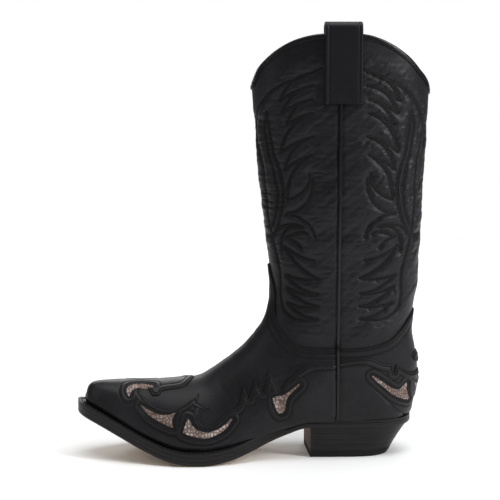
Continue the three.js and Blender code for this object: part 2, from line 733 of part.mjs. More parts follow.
const finishes = {
  upperLeather: { color: 0x232126, roughness: 0.5, metalness: 0 },
  overlayLeather: { color: 0x1b1a1e, roughness: 0.42, metalness: 0 },
  strapLeather: { color: 0x2a292d, roughness: 0.55, metalness: 0 },
  trimLeather: { color: 0x121115, roughness: 0.3, metalness: 0 },
  liningLeather: { color: 0xa98d6d, roughness: 0.75, metalness: 0 },
  snakeSkin: { color: 0xb8a9a0, roughness: 0.5, metalness: 0 },
  soleLeather: { color: 0x2b2422, roughness: 0.55, metalness: 0 },
  insoleLeather: { color: 0xb88c5e, roughness: 0.8, metalness: 0 },
  heelRubber: { color: 0x131316, roughness: 0.7, metalness: 0 },
  stiffBoard: { color: 0x8a6f4d, roughness: 0.85, metalness: 0 },
  cork: { color: 0x9c7347, roughness: 0.95, metalness: 0 },
  steel: { color: 0x9aa0a6, roughness: 0.35, metalness: 1 },
  pegWood: { color: 0xd8bd8c, roughness: 0.8, metalness: 0 },
};

function geometryOf(piece) {
  const mesh = piece.getMesh();
  const geometry = new THREE.BufferGeometry();
  geometry.setAttribute('position', new THREE.BufferAttribute(new Float32Array(mesh.vertProperties), 3));
  geometry.setIndex(new THREE.BufferAttribute(new Uint32Array(mesh.triVerts), 1));
  geometry.computeVertexNormals();
  return geometry;
}

// The leg's inner half leans back as it rises, so that the inner seam and strap stand behind the outer ones.
function leanBack(geometry) {
  const places = geometry.getAttribute('position');
  for (let i = 0; i < places.count; i += 1) {
    const rise = smoothstep(places.getZ(i), innerLeanStart, shaftHeight);
    const inward = smoothstep(-places.getY(i), 0, grade * innerLeanWidth);
    places.setX(i, places.getX(i) - innerLean * rise * inward);
  }
  geometry.computeVertexNormals();
}

function addPart(group, name, shape, finish) {
  const geometry = shape.isBufferGeometry ? shape : geometryOf(shape);
  leanBack(geometry);
  const mesh = new THREE.Mesh(geometry, new THREE.MeshStandardMaterial(finishes[finish]));
  mesh.name = name;
  group.add(mesh);
}

const upper = new THREE.Group();
addPart(upper, 'vamp', vamp, 'upperLeather');
addPart(upper, 'counter_cover', counterCover, 'upperLeather');
addPart(upper, 'shaft_front', shaftFront, 'upperLeather');
addPart(upper, 'shaft_back', shaftBack, 'upperLeather');
addPart(upper, 'front_foxing', frontFoxing, 'overlayLeather');
addPart(upper, 'heel_foxing', heelFoxing, 'overlayLeather');
addPart(upper, 'lining_front', liningFront, 'liningLeather');
addPart(upper, 'lining_back', liningBack, 'liningLeather');
addPart(upper, 'vamp_lining', vampLining, 'liningLeather');
addPart(upper, 'heel_lining', heelLining, 'liningLeather');
addPart(upper, 'toe_puff', toePuff, 'stiffBoard');
addPart(upper, 'vamp_backing', vampBacking, 'liningLeather');
addPart(upper, 'counter_stiffener', counterStiffener, 'stiffBoard');
addPart(upper, 'topline_binding_front', binding.intersect(front), 'trimLeather');
addPart(upper, 'topline_binding_back', binding.intersect(back), 'trimLeather');
for (const side of ['lateral', 'medial']) {
  addPart(upper, `side_piping_${side}`, onSide(piping, side), 'trimLeather');
  addPart(upper, `pull_strap_${side}`, strapGeometry(side === 'lateral' ? 1 : -1), 'strapLeather');
  for (const [name, outline] of Object.entries(inlayOutlines)) {
    addPart(upper, `inlay_${name}_${side}`, inlayOn(outline, side), 'snakeSkin');
  }
}
addPart(upper, 'inlay_heel_back', inlayLayer.intersect(across(heelBackOutline.map(onFoot))), 'snakeSkin');

const bottom = new THREE.Group();
addPart(bottom, 'insole', insole, 'insoleLeather');
addPart(bottom, 'heel_pad', heelPad, 'liningLeather');
addPart(bottom, 'shank', shank, 'steel');
addPart(bottom, 'cork_filler', filler, 'cork');
addPart(bottom, 'welt', welt, 'soleLeather');
addPart(bottom, 'heel_rand', heelRand, 'soleLeather');
addPart(bottom, 'midsole', midsole, 'soleLeather');
addPart(bottom, 'outsole', outsole, 'soleLeather');
pegs.forEach((peg, i) => addPart(bottom, `waist_peg_${i + 1}`, peg, 'pegWood'));

const heel = new THREE.Group();
addPart(heel, 'top_lift', topLift, 'heelRubber');
lifts.forEach((lift, i) => addPart(heel, `heel_lift_${i + 1}`, lift, 'soleLeather'));
nails.forEach((nail, i) => addPart(heel, `heel_nail_${i + 1}`, nail, 'steel'));

const boot = new THREE.Group();
boot.add(upper, bottom, heel);

export default boot;
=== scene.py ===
"""A left pull-on western boot, built up around its CAD frame. Sizes in the sections are millimetres."""

import math

import bpy
import numpy as np
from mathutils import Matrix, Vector, kdtree


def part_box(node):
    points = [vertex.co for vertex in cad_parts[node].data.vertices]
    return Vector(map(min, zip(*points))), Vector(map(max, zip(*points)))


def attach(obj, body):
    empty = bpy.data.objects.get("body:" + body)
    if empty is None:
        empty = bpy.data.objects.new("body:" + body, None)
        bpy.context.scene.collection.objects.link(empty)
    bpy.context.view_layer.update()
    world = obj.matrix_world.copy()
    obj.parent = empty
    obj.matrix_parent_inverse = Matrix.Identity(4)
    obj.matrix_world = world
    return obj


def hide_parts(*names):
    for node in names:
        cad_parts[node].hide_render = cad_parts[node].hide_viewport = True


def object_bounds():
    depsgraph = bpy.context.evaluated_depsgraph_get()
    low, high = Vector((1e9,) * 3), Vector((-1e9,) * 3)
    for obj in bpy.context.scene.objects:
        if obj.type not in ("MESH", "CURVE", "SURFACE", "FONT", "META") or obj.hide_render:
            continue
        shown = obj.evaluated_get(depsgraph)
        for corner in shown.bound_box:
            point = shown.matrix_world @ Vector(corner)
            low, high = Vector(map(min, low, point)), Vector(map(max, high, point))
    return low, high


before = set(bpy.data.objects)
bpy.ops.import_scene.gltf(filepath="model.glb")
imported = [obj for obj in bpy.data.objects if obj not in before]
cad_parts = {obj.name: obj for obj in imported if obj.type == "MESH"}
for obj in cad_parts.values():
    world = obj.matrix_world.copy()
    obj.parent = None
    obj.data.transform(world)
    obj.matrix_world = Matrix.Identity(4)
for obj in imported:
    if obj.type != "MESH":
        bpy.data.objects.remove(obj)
cad_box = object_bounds()

# ----------------------------------------
# Camera, pale floor and soft studio light. The camera stands level with the
# outer side of the boot, turned a little towards the toe, and looks slightly down.
# ----------------------------------------

view_turn = math.radians(5.0)
view_lift = math.radians(8)
view_distance = 1.35
aim_forward, aim_down = 0.0025, 0.0085
low, high = cad_box
target = Vector(((low.x + high.x) / 2 + aim_forward, 0, (low.z + high.z) / 2 - aim_down))
towards = Vector((
    math.sin(view_turn) * math.cos(view_lift),
    math.cos(view_turn) * math.cos(view_lift),
    math.sin(view_lift),
))
camera = bpy.data.objects.new("camera", bpy.data.cameras.new("camera"))
camera.data.lens = 108
camera.data.sensor_width = 36
camera.location = target + towards * view_distance
camera.rotation_mode = "QUATERNION"
camera.rotation_quaternion = (-towards).to_track_quat("-Z", "Y")
bpy.context.scene.collection.objects.link(camera)
bpy.context.scene.camera = camera
bpy.context.scene.view_settings.view_transform = "Standard"


class Socket:
    """A value in a material. Arithmetic on it adds Math nodes."""

    def __init__(self, finish, socket):
        self.finish = finish
        self.socket = socket

    def math(self, operation, *values, clamp=False):
        settings = {"operation": operation, "use_clamp": clamp}
        return self.finish.node("ShaderNodeMath", settings, dict(enumerate(values)))

    def __add__(self, other):
        return self.math("ADD", self, other)

    def __radd__(self, other):
        return self.math("ADD", other, self)

    def __sub__(self, other):
        return self.math("SUBTRACT", self, other)

    def __rsub__(self, other):
        return self.math("SUBTRACT", other, self)

    def __mul__(self, other):
        return self.math("MULTIPLY", self, other)

    def __rmul__(self, other):
        return self.math("MULTIPLY", other, self)

    def __truediv__(self, other):
        return self.math("DIVIDE", self, other)

    def __pow__(self, other):
        return self.math("POWER", self, other)

    def step(self, start, end):
        """0 below start and 1 above end, with a smooth change between them."""
        settings = {"interpolation_type": "SMOOTHSTEP"}
        values = {"Value": self, "From Min": start, "From Max": end}
        return self.finish.node("ShaderNodeMapRange", settings, values)


class Finish:
    """A procedural material under construction."""

    def __init__(self, name):
        self.material = bpy.data.materials.new(name)
        self.material.use_nodes = True
        self.tree = self.material.node_tree
        self.tree.nodes.clear()

    def node(self, kind, settings=None, values=None, output=0):
        """Adds a node: its settings first, then the values or links of its sockets."""
        node = self.tree.nodes.new(kind)
        for key, value in (settings or {}).items():
            setattr(node, key, value)
        inputs = [s for s in node.inputs if s.enabled]
        for key, value in (values or {}).items():
            socket = inputs[key] if isinstance(key, int) else next(s for s in inputs if s.name == key)
            if isinstance(value, Socket):
                self.tree.links.new(value.socket, socket)
            else:
                socket.default_value = value
        outputs = [s for s in node.outputs if s.enabled]
        if not outputs:
            return None
        found = outputs[output] if isinstance(output, int) else node.outputs[output]
        return Socket(self, found)

    def place(self, scale=(1, 1, 1)):
        """The surface point in metres, stretched by a scale along each axis."""
        point = self.node("ShaderNodeTexCoord", output="Object")
        return self.node("ShaderNodeVectorMath", {"operation": "MULTIPLY"}, {0: point, 1: scale})

    def noise(self, scale, detail=3, stretch=(1, 1, 1), roughness=0.5):
        values = {"Vector": self.place(stretch), "Scale": scale, "Detail": detail, "Roughness": roughness}
        return self.node("ShaderNodeTexNoise", None, values)

    def cells(self, scale, feature="F1", stretch=(1, 1, 1), output="Distance", randomness=1.0):
        values = {"Vector": self.place(stretch), "Scale": scale, "Randomness": randomness}
        return self.node("ShaderNodeTexVoronoi", {"feature": feature}, values, output)

    def attribute(self, name):
        return self.node("ShaderNodeAttribute", {"attribute_name": name}, output="Fac")

    def mix(self, share, first, second):
        """A colour between two, by a share from 0 to 1."""
        first, second = (end if isinstance(end, Socket) else (*end, 1.0) for end in (first, second))
        return self.node("ShaderNodeMix", {"data_type": "RGBA"}, {0: share, 1: first, 2: second})

    def bump(self, height, distance, strength=1.0, under=None):
        values = {"Height": height, "Distance": distance, "Strength": strength}
        if under:
            values["Normal"] = under
        return self.node("ShaderNodeBump", None, values)

    def surface(self, **values):
        """Ends the material in one Principled shader and returns it."""
        values.setdefault("Specular_IOR_Level", 0.17)
        named = {key.replace("_", " "): value for key, value in values.items()}
        shader = self.node("ShaderNodeBsdfPrincipled", None, named)
        self.node("ShaderNodeOutputMaterial", None, {"Surface": shader})
        return self.material


def shade(colour, share):
    """A colour made darker or lighter."""
    return [part * share for part in colour]


floor_size, floor_drop = 1.4, 0.0002
floor_mesh = bpy.data.meshes.new("floor")
corners = [(x * floor_size, y * floor_size) for x, y in ((-1, -1), (1, -1), (1, 1), (-1, 1))]
floor_mesh.from_pydata([(x, y, low.z - floor_drop) for x, y in corners], [], [(0, 1, 2, 3)])
floor = bpy.data.objects.new("floor", floor_mesh)
bpy.context.scene.collection.objects.link(floor)
paper = Finish("floor_paper")
floor_mesh.materials.append(paper.surface(
    Base_Color=paper.mix(paper.noise(30), (0.96, 0.965, 0.97), (0.975, 0.98, 0.985)),
    Roughness=0.9,
    Specular_IOR_Level=0.1,
))

world = bpy.data.worlds.new("studio")
bpy.context.scene.world = world
world.use_nodes = True
world_nodes, world_links = world.node_tree.nodes, world.node_tree.links
white_paper = world_nodes["Background"]
white_paper.inputs["Strength"].default_value = 1.0
white_paper.inputs["Color"].default_value = (1, 1, 1, 1)
dim_room = world_nodes.new("ShaderNodeBackground")
dim_room.inputs["Strength"].default_value = 0.2
dim_room.inputs["Color"].default_value = (1, 1, 1, 1)
seen = world_nodes.new("ShaderNodeLightPath")
both = world_nodes.new("ShaderNodeMixShader")
world_links.new(seen.outputs["Is Camera Ray"], both.inputs[0])
world_links.new(dim_room.outputs[0], both.inputs[1])
world_links.new(white_paper.outputs[0], both.inputs[2])
world_links.new(both.outputs[0], world_nodes["World Output"].inputs["Surface"])


def softbox(name, place, aim, size, power):
    """A square area light that faces a point."""
    light = bpy.data.lights.new(name, "AREA")
    light.shape = "RECTANGLE"
    light.size, light.size_y = size
    light.energy = power
    lamp = bpy.data.objects.new(name, light)
    lamp.location = place
    lamp.rotation_mode = "QUATERNION"
    lamp.rotation_quaternion = (Vector(aim) - Vector(place)).to_track_quat("-Z", "Y")
    bpy.context.scene.collection.objects.link(lamp)


softbox("light_above", (0.0, 0.1, 1.8), (0.08, 0, 0.15), (1.8, 1.4), 27)
softbox("light_toe_side", (1.5, 0.7, 0.9), (0.1, 0, 0.2), (0.4, 1.2), 3)
softbox("light_heel_side", (-1.4, 0.9, 1.0), (0, 0, 0.2), (0.35, 1.1), 24)
softbox("light_behind", (0.1, -1.6, 0.9), (0.08, 0, 0.2), (1.6, 1.0), 14)

# ----------------------------------------
# Outsole: one bend of vegetable-tanned leather, level under the heel seat, arched
# through the waist and sprung at the toe. Its edge is trimmed, painted black and
# burnished, and its underside keeps the natural tan of the hide.
# ----------------------------------------

heel_height = 28
seat_end = 39
toe_spring = 40
outsole_thickness = 4.5
midsole_thickness = 3.5
gap = 0.3


def through(knots):
    """A smooth function through knots (x, y) that doesn't overshoot them."""
    xs, ys = np.array(knots, float).T
    widths = np.diff(xs)
    slopes = np.diff(ys) / widths
    before, after = slopes[:-1], slopes[1:]
    product = before * after
    safe = np.where(before + after == 0, 1, before + after)
    inner = np.where(product > 0, 2 * product / safe, 0)
    tangents = np.concatenate([slopes[:1], inner, slopes[-1:]])

    def value(x):
        x = np.clip(np.asarray(x, float), xs[0], xs[-1])
        i = np.clip(np.searchsorted(xs, x, side="right") - 1, 0, len(widths) - 1)
        w = widths[i]
        t = (x - xs[i]) / w
        start = ys[i] * (1 + 2 * t) * (1 - t) ** 2 + tangents[i] * w * t * (1 - t) ** 2
        end = ys[i + 1] * t * t * (3 - 2 * t) + tangents[i + 1] * w * t * t * (t - 1)
        return start + end

    return value


def smoothstep(x, start, end):
    t = np.clip((np.asarray(x, float) - start) / (end - start), 0, 1)
    return t * t * (3 - 2 * t)


waist_knots = [(6, 0.965), (18, 0.817), (36, 0.58), (52, 0.345), (74, 0.1)]
toe_knots = [(135, 0), (150, 0.012), (165, 0.08), (185, 0.27), (209, 0.57), (230, 0.83), (246, 1)]
sole_bottom = through(
    [(-70, heel_height), (seat_end, heel_height)]
    + [(seat_end + x, heel_height * share) for x, share in waist_knots]
    + [(x, toe_spring * share) for x, share in toe_knots]
)


def hump(distance, width):
    """1 at no distance, falling softly away over a width."""
    return np.exp(-((distance / width) ** 2))


def waist_rise(x):
    return smoothstep(x, 46, 95)


def outsole_top(x):
    return sole_bottom(x) + outsole_thickness


def welt_bottom(x):
    return outsole_top(x) + gap + (midsole_thickness + gap) * waist_rise(x)


def sole_top(x):
    return welt_bottom(x) + 2 + waist_rise(x)


last_half = through([
    (-54, 2), (-53.5, 6), (-51, 12.5), (-46, 20), (-38, 25.5), (-26, 28.7), (-10, 29.3), (10, 28),
    (35, 24.5), (60, 22.5), (80, 25), (100, 31), (120, 37.3), (140, 41.3), (155, 41.2), (170, 37.8),
    (185, 32.5), (200, 26.5), (212, 21), (222, 15.8), (230, 11), (233.5, 8.3), (235.6, 4.5),
])
last_centre = through([(-60, 0), (0, 0), (50, 2.5), (100, 2), (140, -0.5), (180, -3), (236, -5.5)])
sole_margin = through([(-60, 3.5), (40, 3.5), (120, 8.5), (200, 8.5), (236, 10.4)])


def unit(vectors):
    return vectors / np.maximum(np.linalg.norm(vectors, axis=-1, keepdims=True), 1e-9)


last_heel, last_length = -54, 289.6


def plan_outline(count=150):
    """The sole's plan, up the inner side from the heel tip to the toe tip and back down the outer side."""
    share = (1 - np.cos(np.linspace(0, np.pi, count))) / 2
    x = last_heel + last_length * share
    half = last_half(x)
    inner = np.stack([x, last_centre(x) - half], 1)
    outer = np.stack([x, last_centre(x) + half], 1)[::-1]
    loop = np.concatenate([inner, outer])
    spaced = resample(np.concatenate([loop, loop[:1]]), 2 * count + 1)[:-1]
    out = outward_2d(spaced)
    grown = spaced + out * sole_margin(spaced[:, 0])[:, None]
    for _ in range(3):
        grown = (np.roll(grown, 1, 0) + 2 * grown + np.roll(grown, -1, 0)) / 4
    return grown


def outward_2d(loop):
    """Outward directions along a counter-clockwise plan loop."""
    along = unit(np.roll(loop, -1, 0) - np.roll(loop, 1, 0))
    return np.stack([along[:, 1], -along[:, 0]], 1)


def run_lengths(line):
    """How far along a line each of its points lies."""
    return np.concatenate([[0], np.cumsum(np.linalg.norm(np.diff(line, axis=0), axis=1))])


def resample(line, count):
    """Points spaced evenly along a line."""
    line = np.asarray(line, float)
    lengths = run_lengths(line)
    places = np.linspace(0, lengths[-1], count)
    return np.stack([np.interp(places, lengths, line[:, k]) for k in range(line.shape[1])], 1)


inner_lean, inner_lean_width = 11.0, 44.0
inner_lean_start, inner_lean_end = 112.0, 379.0


def lean_back(points):
    """The leg's inner half leans back as it rises, so that the inner seam stands behind the outer one."""
    leaned = np.array(points, float)
    rise = smoothstep(leaned[:, 2], inner_lean_start, inner_lean_end)
    leaned[:, 0] -= inner_lean * rise * smoothstep(-leaned[:, 1], 0, inner_lean_width)
    return leaned


def add_piece(name, points, faces, material, stands_for=(), sharp=None, shade_marks=None):
    """Adds a mesh piece from points in millimetres and hides the CAD nodes that it stands for. Shade marks
    from 0 to 1 at the points say where its leather is painted darker: shade in stitch grooves and at cut
    edges, with some burnish."""
    mesh = bpy.data.meshes.new(name)
    mesh.from_pydata((lean_back(points) * 0.001).tolist(), [], [list(map(int, f)) for f in faces])
    # The shade marks become a point attribute that darkens the leather: painted shade in grooves and at
    # edges, partly burnish.
    if shade_marks is not None:
        padded = np.zeros(len(points))
        padded[:len(shade_marks)] = shade_marks
        mesh.attributes.new("groove_shade_mark", "FLOAT", "POINT").data.foreach_set("value", padded.astype(np.float32))
    mesh.validate()
    mesh.shade_smooth()
    if sharp:
        mesh.set_sharp_from_angle(angle=math.radians(sharp))
    mesh.materials.append(material)
    added = bpy.data.objects.new(name, mesh)
    bpy.context.scene.collection.objects.link(added)
    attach(added, "root")
    if stands_for:
        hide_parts(*stands_for)
    return added


def loft(loops, flat_ends=False):
    """Faces between closed loops of equal size, with a cap over each end loop: one flat face, or strips."""
    rows, size = len(loops), len(loops[0])
    faces = []
    for row in range(rows - 1):
        a = row * size
        b = a + size
        faces += [(a + i, a + (i + 1) % size, b + (i + 1) % size, b + i) for i in range(size)]
    if flat_ends:
        faces += [tuple(range(size))[::-1], tuple(range((rows - 1) * size, rows * size))]
    else:
        faces += cap(0, size, True) + cap((rows - 1) * size, size, False)
    return np.concatenate(loops), faces


def cap(start, size, down):
    """Strips across a loop whose first half runs one way along the foot and second half back."""
    half = size // 2
    faces = []
    for i in range(half - 1):
        quad = (start + i, start + i + 1, start + size - 2 - i, start + size - 1 - i)
        faces.append(quad[::-1] if down else quad)
    return faces


def sole_layer(outline, bottom, top, bulge=0.12, edge=0.45):
    """A flat layer of sole leather with softened edges that follows the sole's curve."""
    out = outward_2d(outline)
    profile = [(-edge, 0), (-0.1 * edge, 0.14), (bulge * 0.6, 0.3), (bulge, 0.5), (bulge * 0.6, 0.7),
               (0, 0.95), (-0.15 * edge, 1)]
    loops = []
    for shift, share in profile:
        plan = outline + out * shift
        z = bottom(outline[:, 0]) * (1 - share) + top(outline[:, 0]) * share
        loops.append(np.column_stack([plan, z]))
    return loft(loops)


def edge_finish(name, edge_colour, under_colour, under_side=True):
    """Painted and burnished edge over natural leather: the tan shows only on faces that look down."""
    finish = Finish(name)
    facing = finish.node("ShaderNodeNewGeometry", output="Normal")
    down = finish.node("ShaderNodeSeparateXYZ", None, {0: facing}, output="Z")
    forward = finish.node("ShaderNodeSeparateXYZ", None, {0: finish.place()}, output="X")
    tan = (0 - down).step(0.35, 0.6) * forward.step(0.038, 0.05) if under_side else 0.0
    layers = finish.noise(220, 4, (0.25, 0.25, 6))
    fibre = finish.noise(900, 3, (1, 1, 0.4))
    black = finish.mix(layers.step(0.35, 0.75), edge_colour, shade(edge_colour, 1.7))
    blotch = finish.noise(45, 4)
    natural = finish.mix(blotch.step(0.3, 0.75), under_colour, shade(under_colour, 0.72))
    colour = finish.mix(tan, black, natural) if under_side else black
    rough = 0.36 + 0.18 * layers
    height = layers * 0.6 + fibre * 0.5
    return finish.surface(
        Base_Color=colour,
        Roughness=rough,
        Coat_Weight=0.1 * (1 - tan) if under_side else 0.1,
        Coat_Roughness=0.3,
        Normal=finish.bump(height, 0.00025, 0.5),
    )


sole_outline = plan_outline()
sole_edge = edge_finish("sole_edge", (0.0085, 0.0072, 0.0078), (0.46, 0.345, 0.23))
points, faces = sole_layer(sole_outline, sole_bottom, outsole_top)
add_piece("outsole_leather", points, faces, sole_edge, ["outsole"], sharp=40)


# ----------------------------------------
# Midsole and heel rand: a second sole layer from the waist forward, and the
# leather strip that evens the seat out behind the heel breast.
# ----------------------------------------

welt_start = 38.5
layer_edge = edge_finish("layer_edge", (0.0078, 0.0068, 0.0074), (0.3, 0.2, 0.12), under_side=False)


def part_of_outline(start, end):
    """The plan outline between two places along the foot, closed straight across at the ends."""
    count = len(sole_outline) // 2
    inner, outer = sole_outline[:count], sole_outline[count:][::-1]
    x = np.clip(sole_outline[:, 0], start, end)
    inner_y = np.interp(x[:count], inner[:, 0], inner[:, 1])
    outer_y = np.interp(x[count:], outer[:, 0], outer[:, 1])
    loop = np.column_stack([x, np.concatenate([inner_y, outer_y])])
    keep = (sole_outline[:, 0] >= start - 2.5) & (sole_outline[:, 0] <= end + 2.5)
    return loop[keep] if keep[:count].sum() == keep[count:].sum() else loop


def layer_of(outline, bottom, top):
    """A layer with a small bead round its edge."""
    middle = outline.mean(0)
    direction = unit(outline - middle)
    loops = []
    for shift, share in [(-0.08, 0), (0, 0.06), (0.06, 0.5), (0, 0.94), (-0.08, 1)]:
        plan = outline + direction * shift
        z = bottom(outline[:, 0]) * (1 - share) + top(outline[:, 0]) * share
        loops.append(np.column_stack([plan, z]))
    return loft(loops)


midsole_outline = part_of_outline(60, 300)
points, faces = layer_of(midsole_outline, lambda x: outsole_top(x) + 0.1, lambda x: welt_bottom(x) - 0.1)
add_piece("midsole_leather", points, faces, layer_edge, ["midsole"], sharp=45)

rand_outline = part_of_outline(-100, welt_start - gap)
points, faces = layer_of(rand_outline, welt_bottom, lambda x: sole_top(x) - 0.05)
add_piece("heel_rand_leather", points, faces, layer_edge, ["heel_rand"], sharp=45)

# ----------------------------------------
# Welt: a strip stitched round the forefoot, its top face grooved for a row of
# heavy waxed lockstitches that hold it to the sole.
# ----------------------------------------

welt_outline = part_of_outline(welt_start, 300)
points, faces = layer_of(welt_outline, welt_bottom, lambda x: sole_top(x) - 0.05)
add_piece("welt_leather", points, faces, layer_edge, ["welt"], sharp=45)


def thread_finish(name, colour):
    """Waxed twisted thread."""
    finish = Finish(name)
    twist = finish.noise(1600, 2, (1, 1, 1))
    return finish.surface(
        Base_Color=finish.mix(twist.step(0.3, 0.7), colour, shade(colour, 1.8)),
        Roughness=0.45,
        Normal=finish.bump(twist, 0.0001, 0.6),
    )


class Stitches:
    """Rows of stitches gathered into one piece. Each stitch is a short bead that dips in at both ends."""

    def __init__(self, thread_width, stitch_length, pitch, rings=6, sides=6):
        self.pitch = pitch
        steps = np.linspace(-1, 1, rings)
        turn = np.linspace(0, 2 * np.pi, sides, endpoint=False)
        thick = np.sqrt(np.clip(1.02 - steps ** 2, 0.02, 1)) * thread_width / 2
        sink = -0.9 * thread_width * np.abs(steps) ** 3
        self.bead = np.array([
            (s * stitch_length / 2, r * math.cos(a), drop + 0.7 * r * math.sin(a))
            for s, r, drop in zip(steps, thick, sink) for a in turn
        ])
        rings, size = len(steps), len(turn)
        self.bead_faces = [
            (k * size + i, k * size + (i + 1) % size, (k + 1) * size + (i + 1) % size, (k + 1) * size + i)
            for k in range(rings - 1) for i in range(size)
        ]
        self.bead_faces += [tuple(range(size))[::-1], tuple(range((rings - 1) * size, rings * size))]
        self.points = []

    def row(self, line, normals, slant=0.0):
        """Adds a row along a line, with one normal for each of its points."""
        line, normals = np.asarray(line, float), np.asarray(normals, float)
        lengths = run_lengths(line)
        count = int(lengths[-1] / self.pitch)
        if count < 1:
            return
        spread = lengths[-1] / count
        places = (np.arange(count) + 0.5) * spread

        def at(values, where):
            return np.stack([np.interp(where, lengths, values[:, k]) for k in range(3)], 1)

        middle, normal = at(line, places), unit(at(normals, places))
        ahead = unit(at(line, places + 0.3) - at(line, places - 0.3))
        side = unit(np.cross(normal, ahead))
        turned = unit(ahead + slant * side)
        side = unit(np.cross(normal, turned))
        axes = np.stack([turned, side, unit(np.cross(turned, side))], 1)
        self.points.append(middle[:, None, :] + np.einsum("bk,nkc->nbc", self.bead, axes))

    def add(self, name, material, slot):
        beads = np.concatenate(self.points)
        count, size = beads.shape[:2]
        faces = [[v + n * size for v in face] for n in range(count) for face in self.bead_faces]
        return add_piece(name, beads.reshape(-1, 3), faces, material)


black_thread = thread_finish("black_thread", (0.0045, 0.0042, 0.005))
welt_thread = thread_finish("welt_thread", (0.014, 0.0125, 0.0125))
welt_stitches = Stitches(1.6, 3.3, 4.0)
inside_edge = 3.2
welt_line = sole_outline - outward_2d(sole_outline) * inside_edge
count = len(sole_outline) // 2
for half in (slice(0, count), slice(count, None)):
    line = welt_line[half]
    line = line[line[:, 0] > 62]
    line = np.column_stack([line, sole_top(line[:, 0]) + 0.15])
    welt_stitches.row(line, np.tile((0, 0, 1.0), (len(line), 1)))
welt_stitches.add("welt_stitching", welt_thread, "sole_leather")

# ----------------------------------------
# Heel: leather lifts pegged and glued into a stack, trimmed to an undershot
# taper, painted black, and closed by a rubber top lift. The breast stays brown.
# ----------------------------------------

heel_front = 37.5
heel_base_length = 75
heel_base_width = 55
top_lift_thickness = 5.5
lift_count = 4


def heel_seat(front_steps=14):
    """Plan of the heel seat, straight across at the breast."""
    inset = sole_outline - outward_2d(sole_outline) * 2
    half_count = len(inset) // 2
    inner = inset[:half_count]
    inner = inner[inner[:, 0] < heel_front - 2]
    corner = last_half(heel_front) + 1.5
    centre = float(last_centre(heel_front))
    across = np.linspace(centre - corner, centre + corner, 2 * front_steps)
    front = np.column_stack([np.full_like(across, heel_front), across])
    outer = inset[half_count:]
    outer = outer[outer[:, 0] < heel_front - 2]
    return inner, front, outer


def heel_section(height, shift):
    """The heel's outline at a height, moved out by a small shift on its sides."""
    inner, front, outer = heel_seat()
    loop = np.concatenate([inner, front, outer])
    back = loop[:, 0].min()
    widest = loop[:, 1].max()
    up = height / heel_height
    hollow = 0.9 * math.sin(math.pi * up)
    length = (heel_base_length / (heel_front - back)) * (1 - up) + up
    width = (heel_base_width / 2 / widest) * (1 - up) + up
    out = outward_2d(loop)
    plan = np.column_stack([heel_front - (heel_front - loop[:, 0]) * length, loop[:, 1] * width])
    side = (loop[:, 0] < heel_front - 1)[:, None]
    plan = plan + out * side * (shift - hollow)
    return np.column_stack([plan, np.full(len(plan), height)])


def heel_block(bottom, top):
    steps = [(bottom, -0.07), (bottom + 0.1, 0.0), (bottom + 0.8, 0.04), ((bottom + top) / 2, 0.05),
             (top - 0.8, 0.04), (top - 0.1, 0.0), (top, -0.07)]
    return loft([heel_section(height, shift) for height, shift in steps], flat_ends=True)


def stack_finish():
    """Stacked heel leather: black paint on the sides, brown grained leather on the breast."""
    finish = Finish("stacked_leather")
    facing = finish.node("ShaderNodeNewGeometry", output="Normal")
    ahead = finish.node("ShaderNodeSeparateXYZ", None, {0: facing}, output="X")
    down = finish.node("ShaderNodeSeparateXYZ", None, {0: facing}, output="Z")
    breast = ahead.step(0.8, 0.95)
    grain = finish.noise(260, 5, (1, 0.35, 2.5))
    brown = finish.mix(grain.step(0.3, 0.75), (0.085, 0.042, 0.03), (0.2, 0.115, 0.085))
    streak = finish.noise(140, 4, (0.3, 0.3, 5))
    black = finish.mix(streak.step(0.35, 0.75), (0.0072, 0.0062, 0.0068), (0.0135, 0.012, 0.0132))
    return finish.surface(
        Base_Color=finish.mix(breast, black, brown),
        Roughness=0.4 + 0.2 * grain + 0.15 * breast,
        Coat_Weight=0.08 * (1 - breast),
        Coat_Roughness=0.3,
        Normal=finish.bump(streak * 0.6 + grain * 0.5, 0.0003, 0.5),
    )


def rubber_finish():
    """Moulded heel rubber with a fine dusty bloom."""
    finish = Finish("heel_rubber")
    speck = finish.noise(700, 4)
    return finish.surface(
        Base_Color=finish.mix(speck.step(0.35, 0.7), (0.006, 0.006, 0.0066), (0.0125, 0.012, 0.0128)),
        Roughness=0.6 + 0.2 * speck,
        Normal=finish.bump(speck, 0.0002, 0.5),
    )


stacked_leather = stack_finish()
points, faces = heel_block(0, top_lift_thickness)
add_piece("heel_top_lift", points, faces, rubber_finish(), ["top_lift"], sharp=40)
lift_height = (heel_height - top_lift_thickness - gap * (lift_count + 1)) / lift_count
for index in range(lift_count):
    bottom = top_lift_thickness + gap + index * (lift_height + gap) - 0.12
    points, faces = heel_block(bottom, bottom + lift_height + 0.24)
    name = f"heel_stack_{index + 1}"
    add_piece(name, points, faces, stacked_leather, [f"heel_lift_{index + 1}"], sharp=40)

# ----------------------------------------
# Linings: natural calf inside the leg and the foot. They follow the last, the
# wooden foot that the whole upper is pulled over, so its shape is drawn here.
# ----------------------------------------

seam_x = 14
ankle_height = 150
shaft_height = 379

# Rings of the last from the toe up the instep: front line x and height over the sole, bottom line x,
# half width, where along the ring it is widest, squareness.
foot_rows = [
    (235.6, 8.5, 235.6, 4.5, 0.55, 2.3), (234.6, 13, 234.6, 7.6, 0.6, 2.3), (231, 18.5, 231, 10.8, 0.68, 2.3),
    (222, 24, 222, 16.4, 0.74, 2.2), (205, 33, 205, 25.3, 0.78, 2.1), (185, 43, 184, 34, 0.8, 2),
    (165, 51.2, 161, 41.2, 0.8, 2), (148, 55.7, 140, 42.5, 0.8, 2), (135, 58.7, 120, 40, 0.8, 2),
    (122, 65.2, 98, 36, 0.78, 1.95), (108, 72.8, 72, 33, 0.74, 1.95), (95, 79, 42, 32.5, 0.7, 1.95),
    (84.5, 88, 10, 32.5, 0.66, 2), (77, 96, -18, 32.5, 0.62, 2), (73, 107, -40, 32.5, 0.6, 2),
    (71, 118, -53.5, 32.5, 0.58, 2),
]
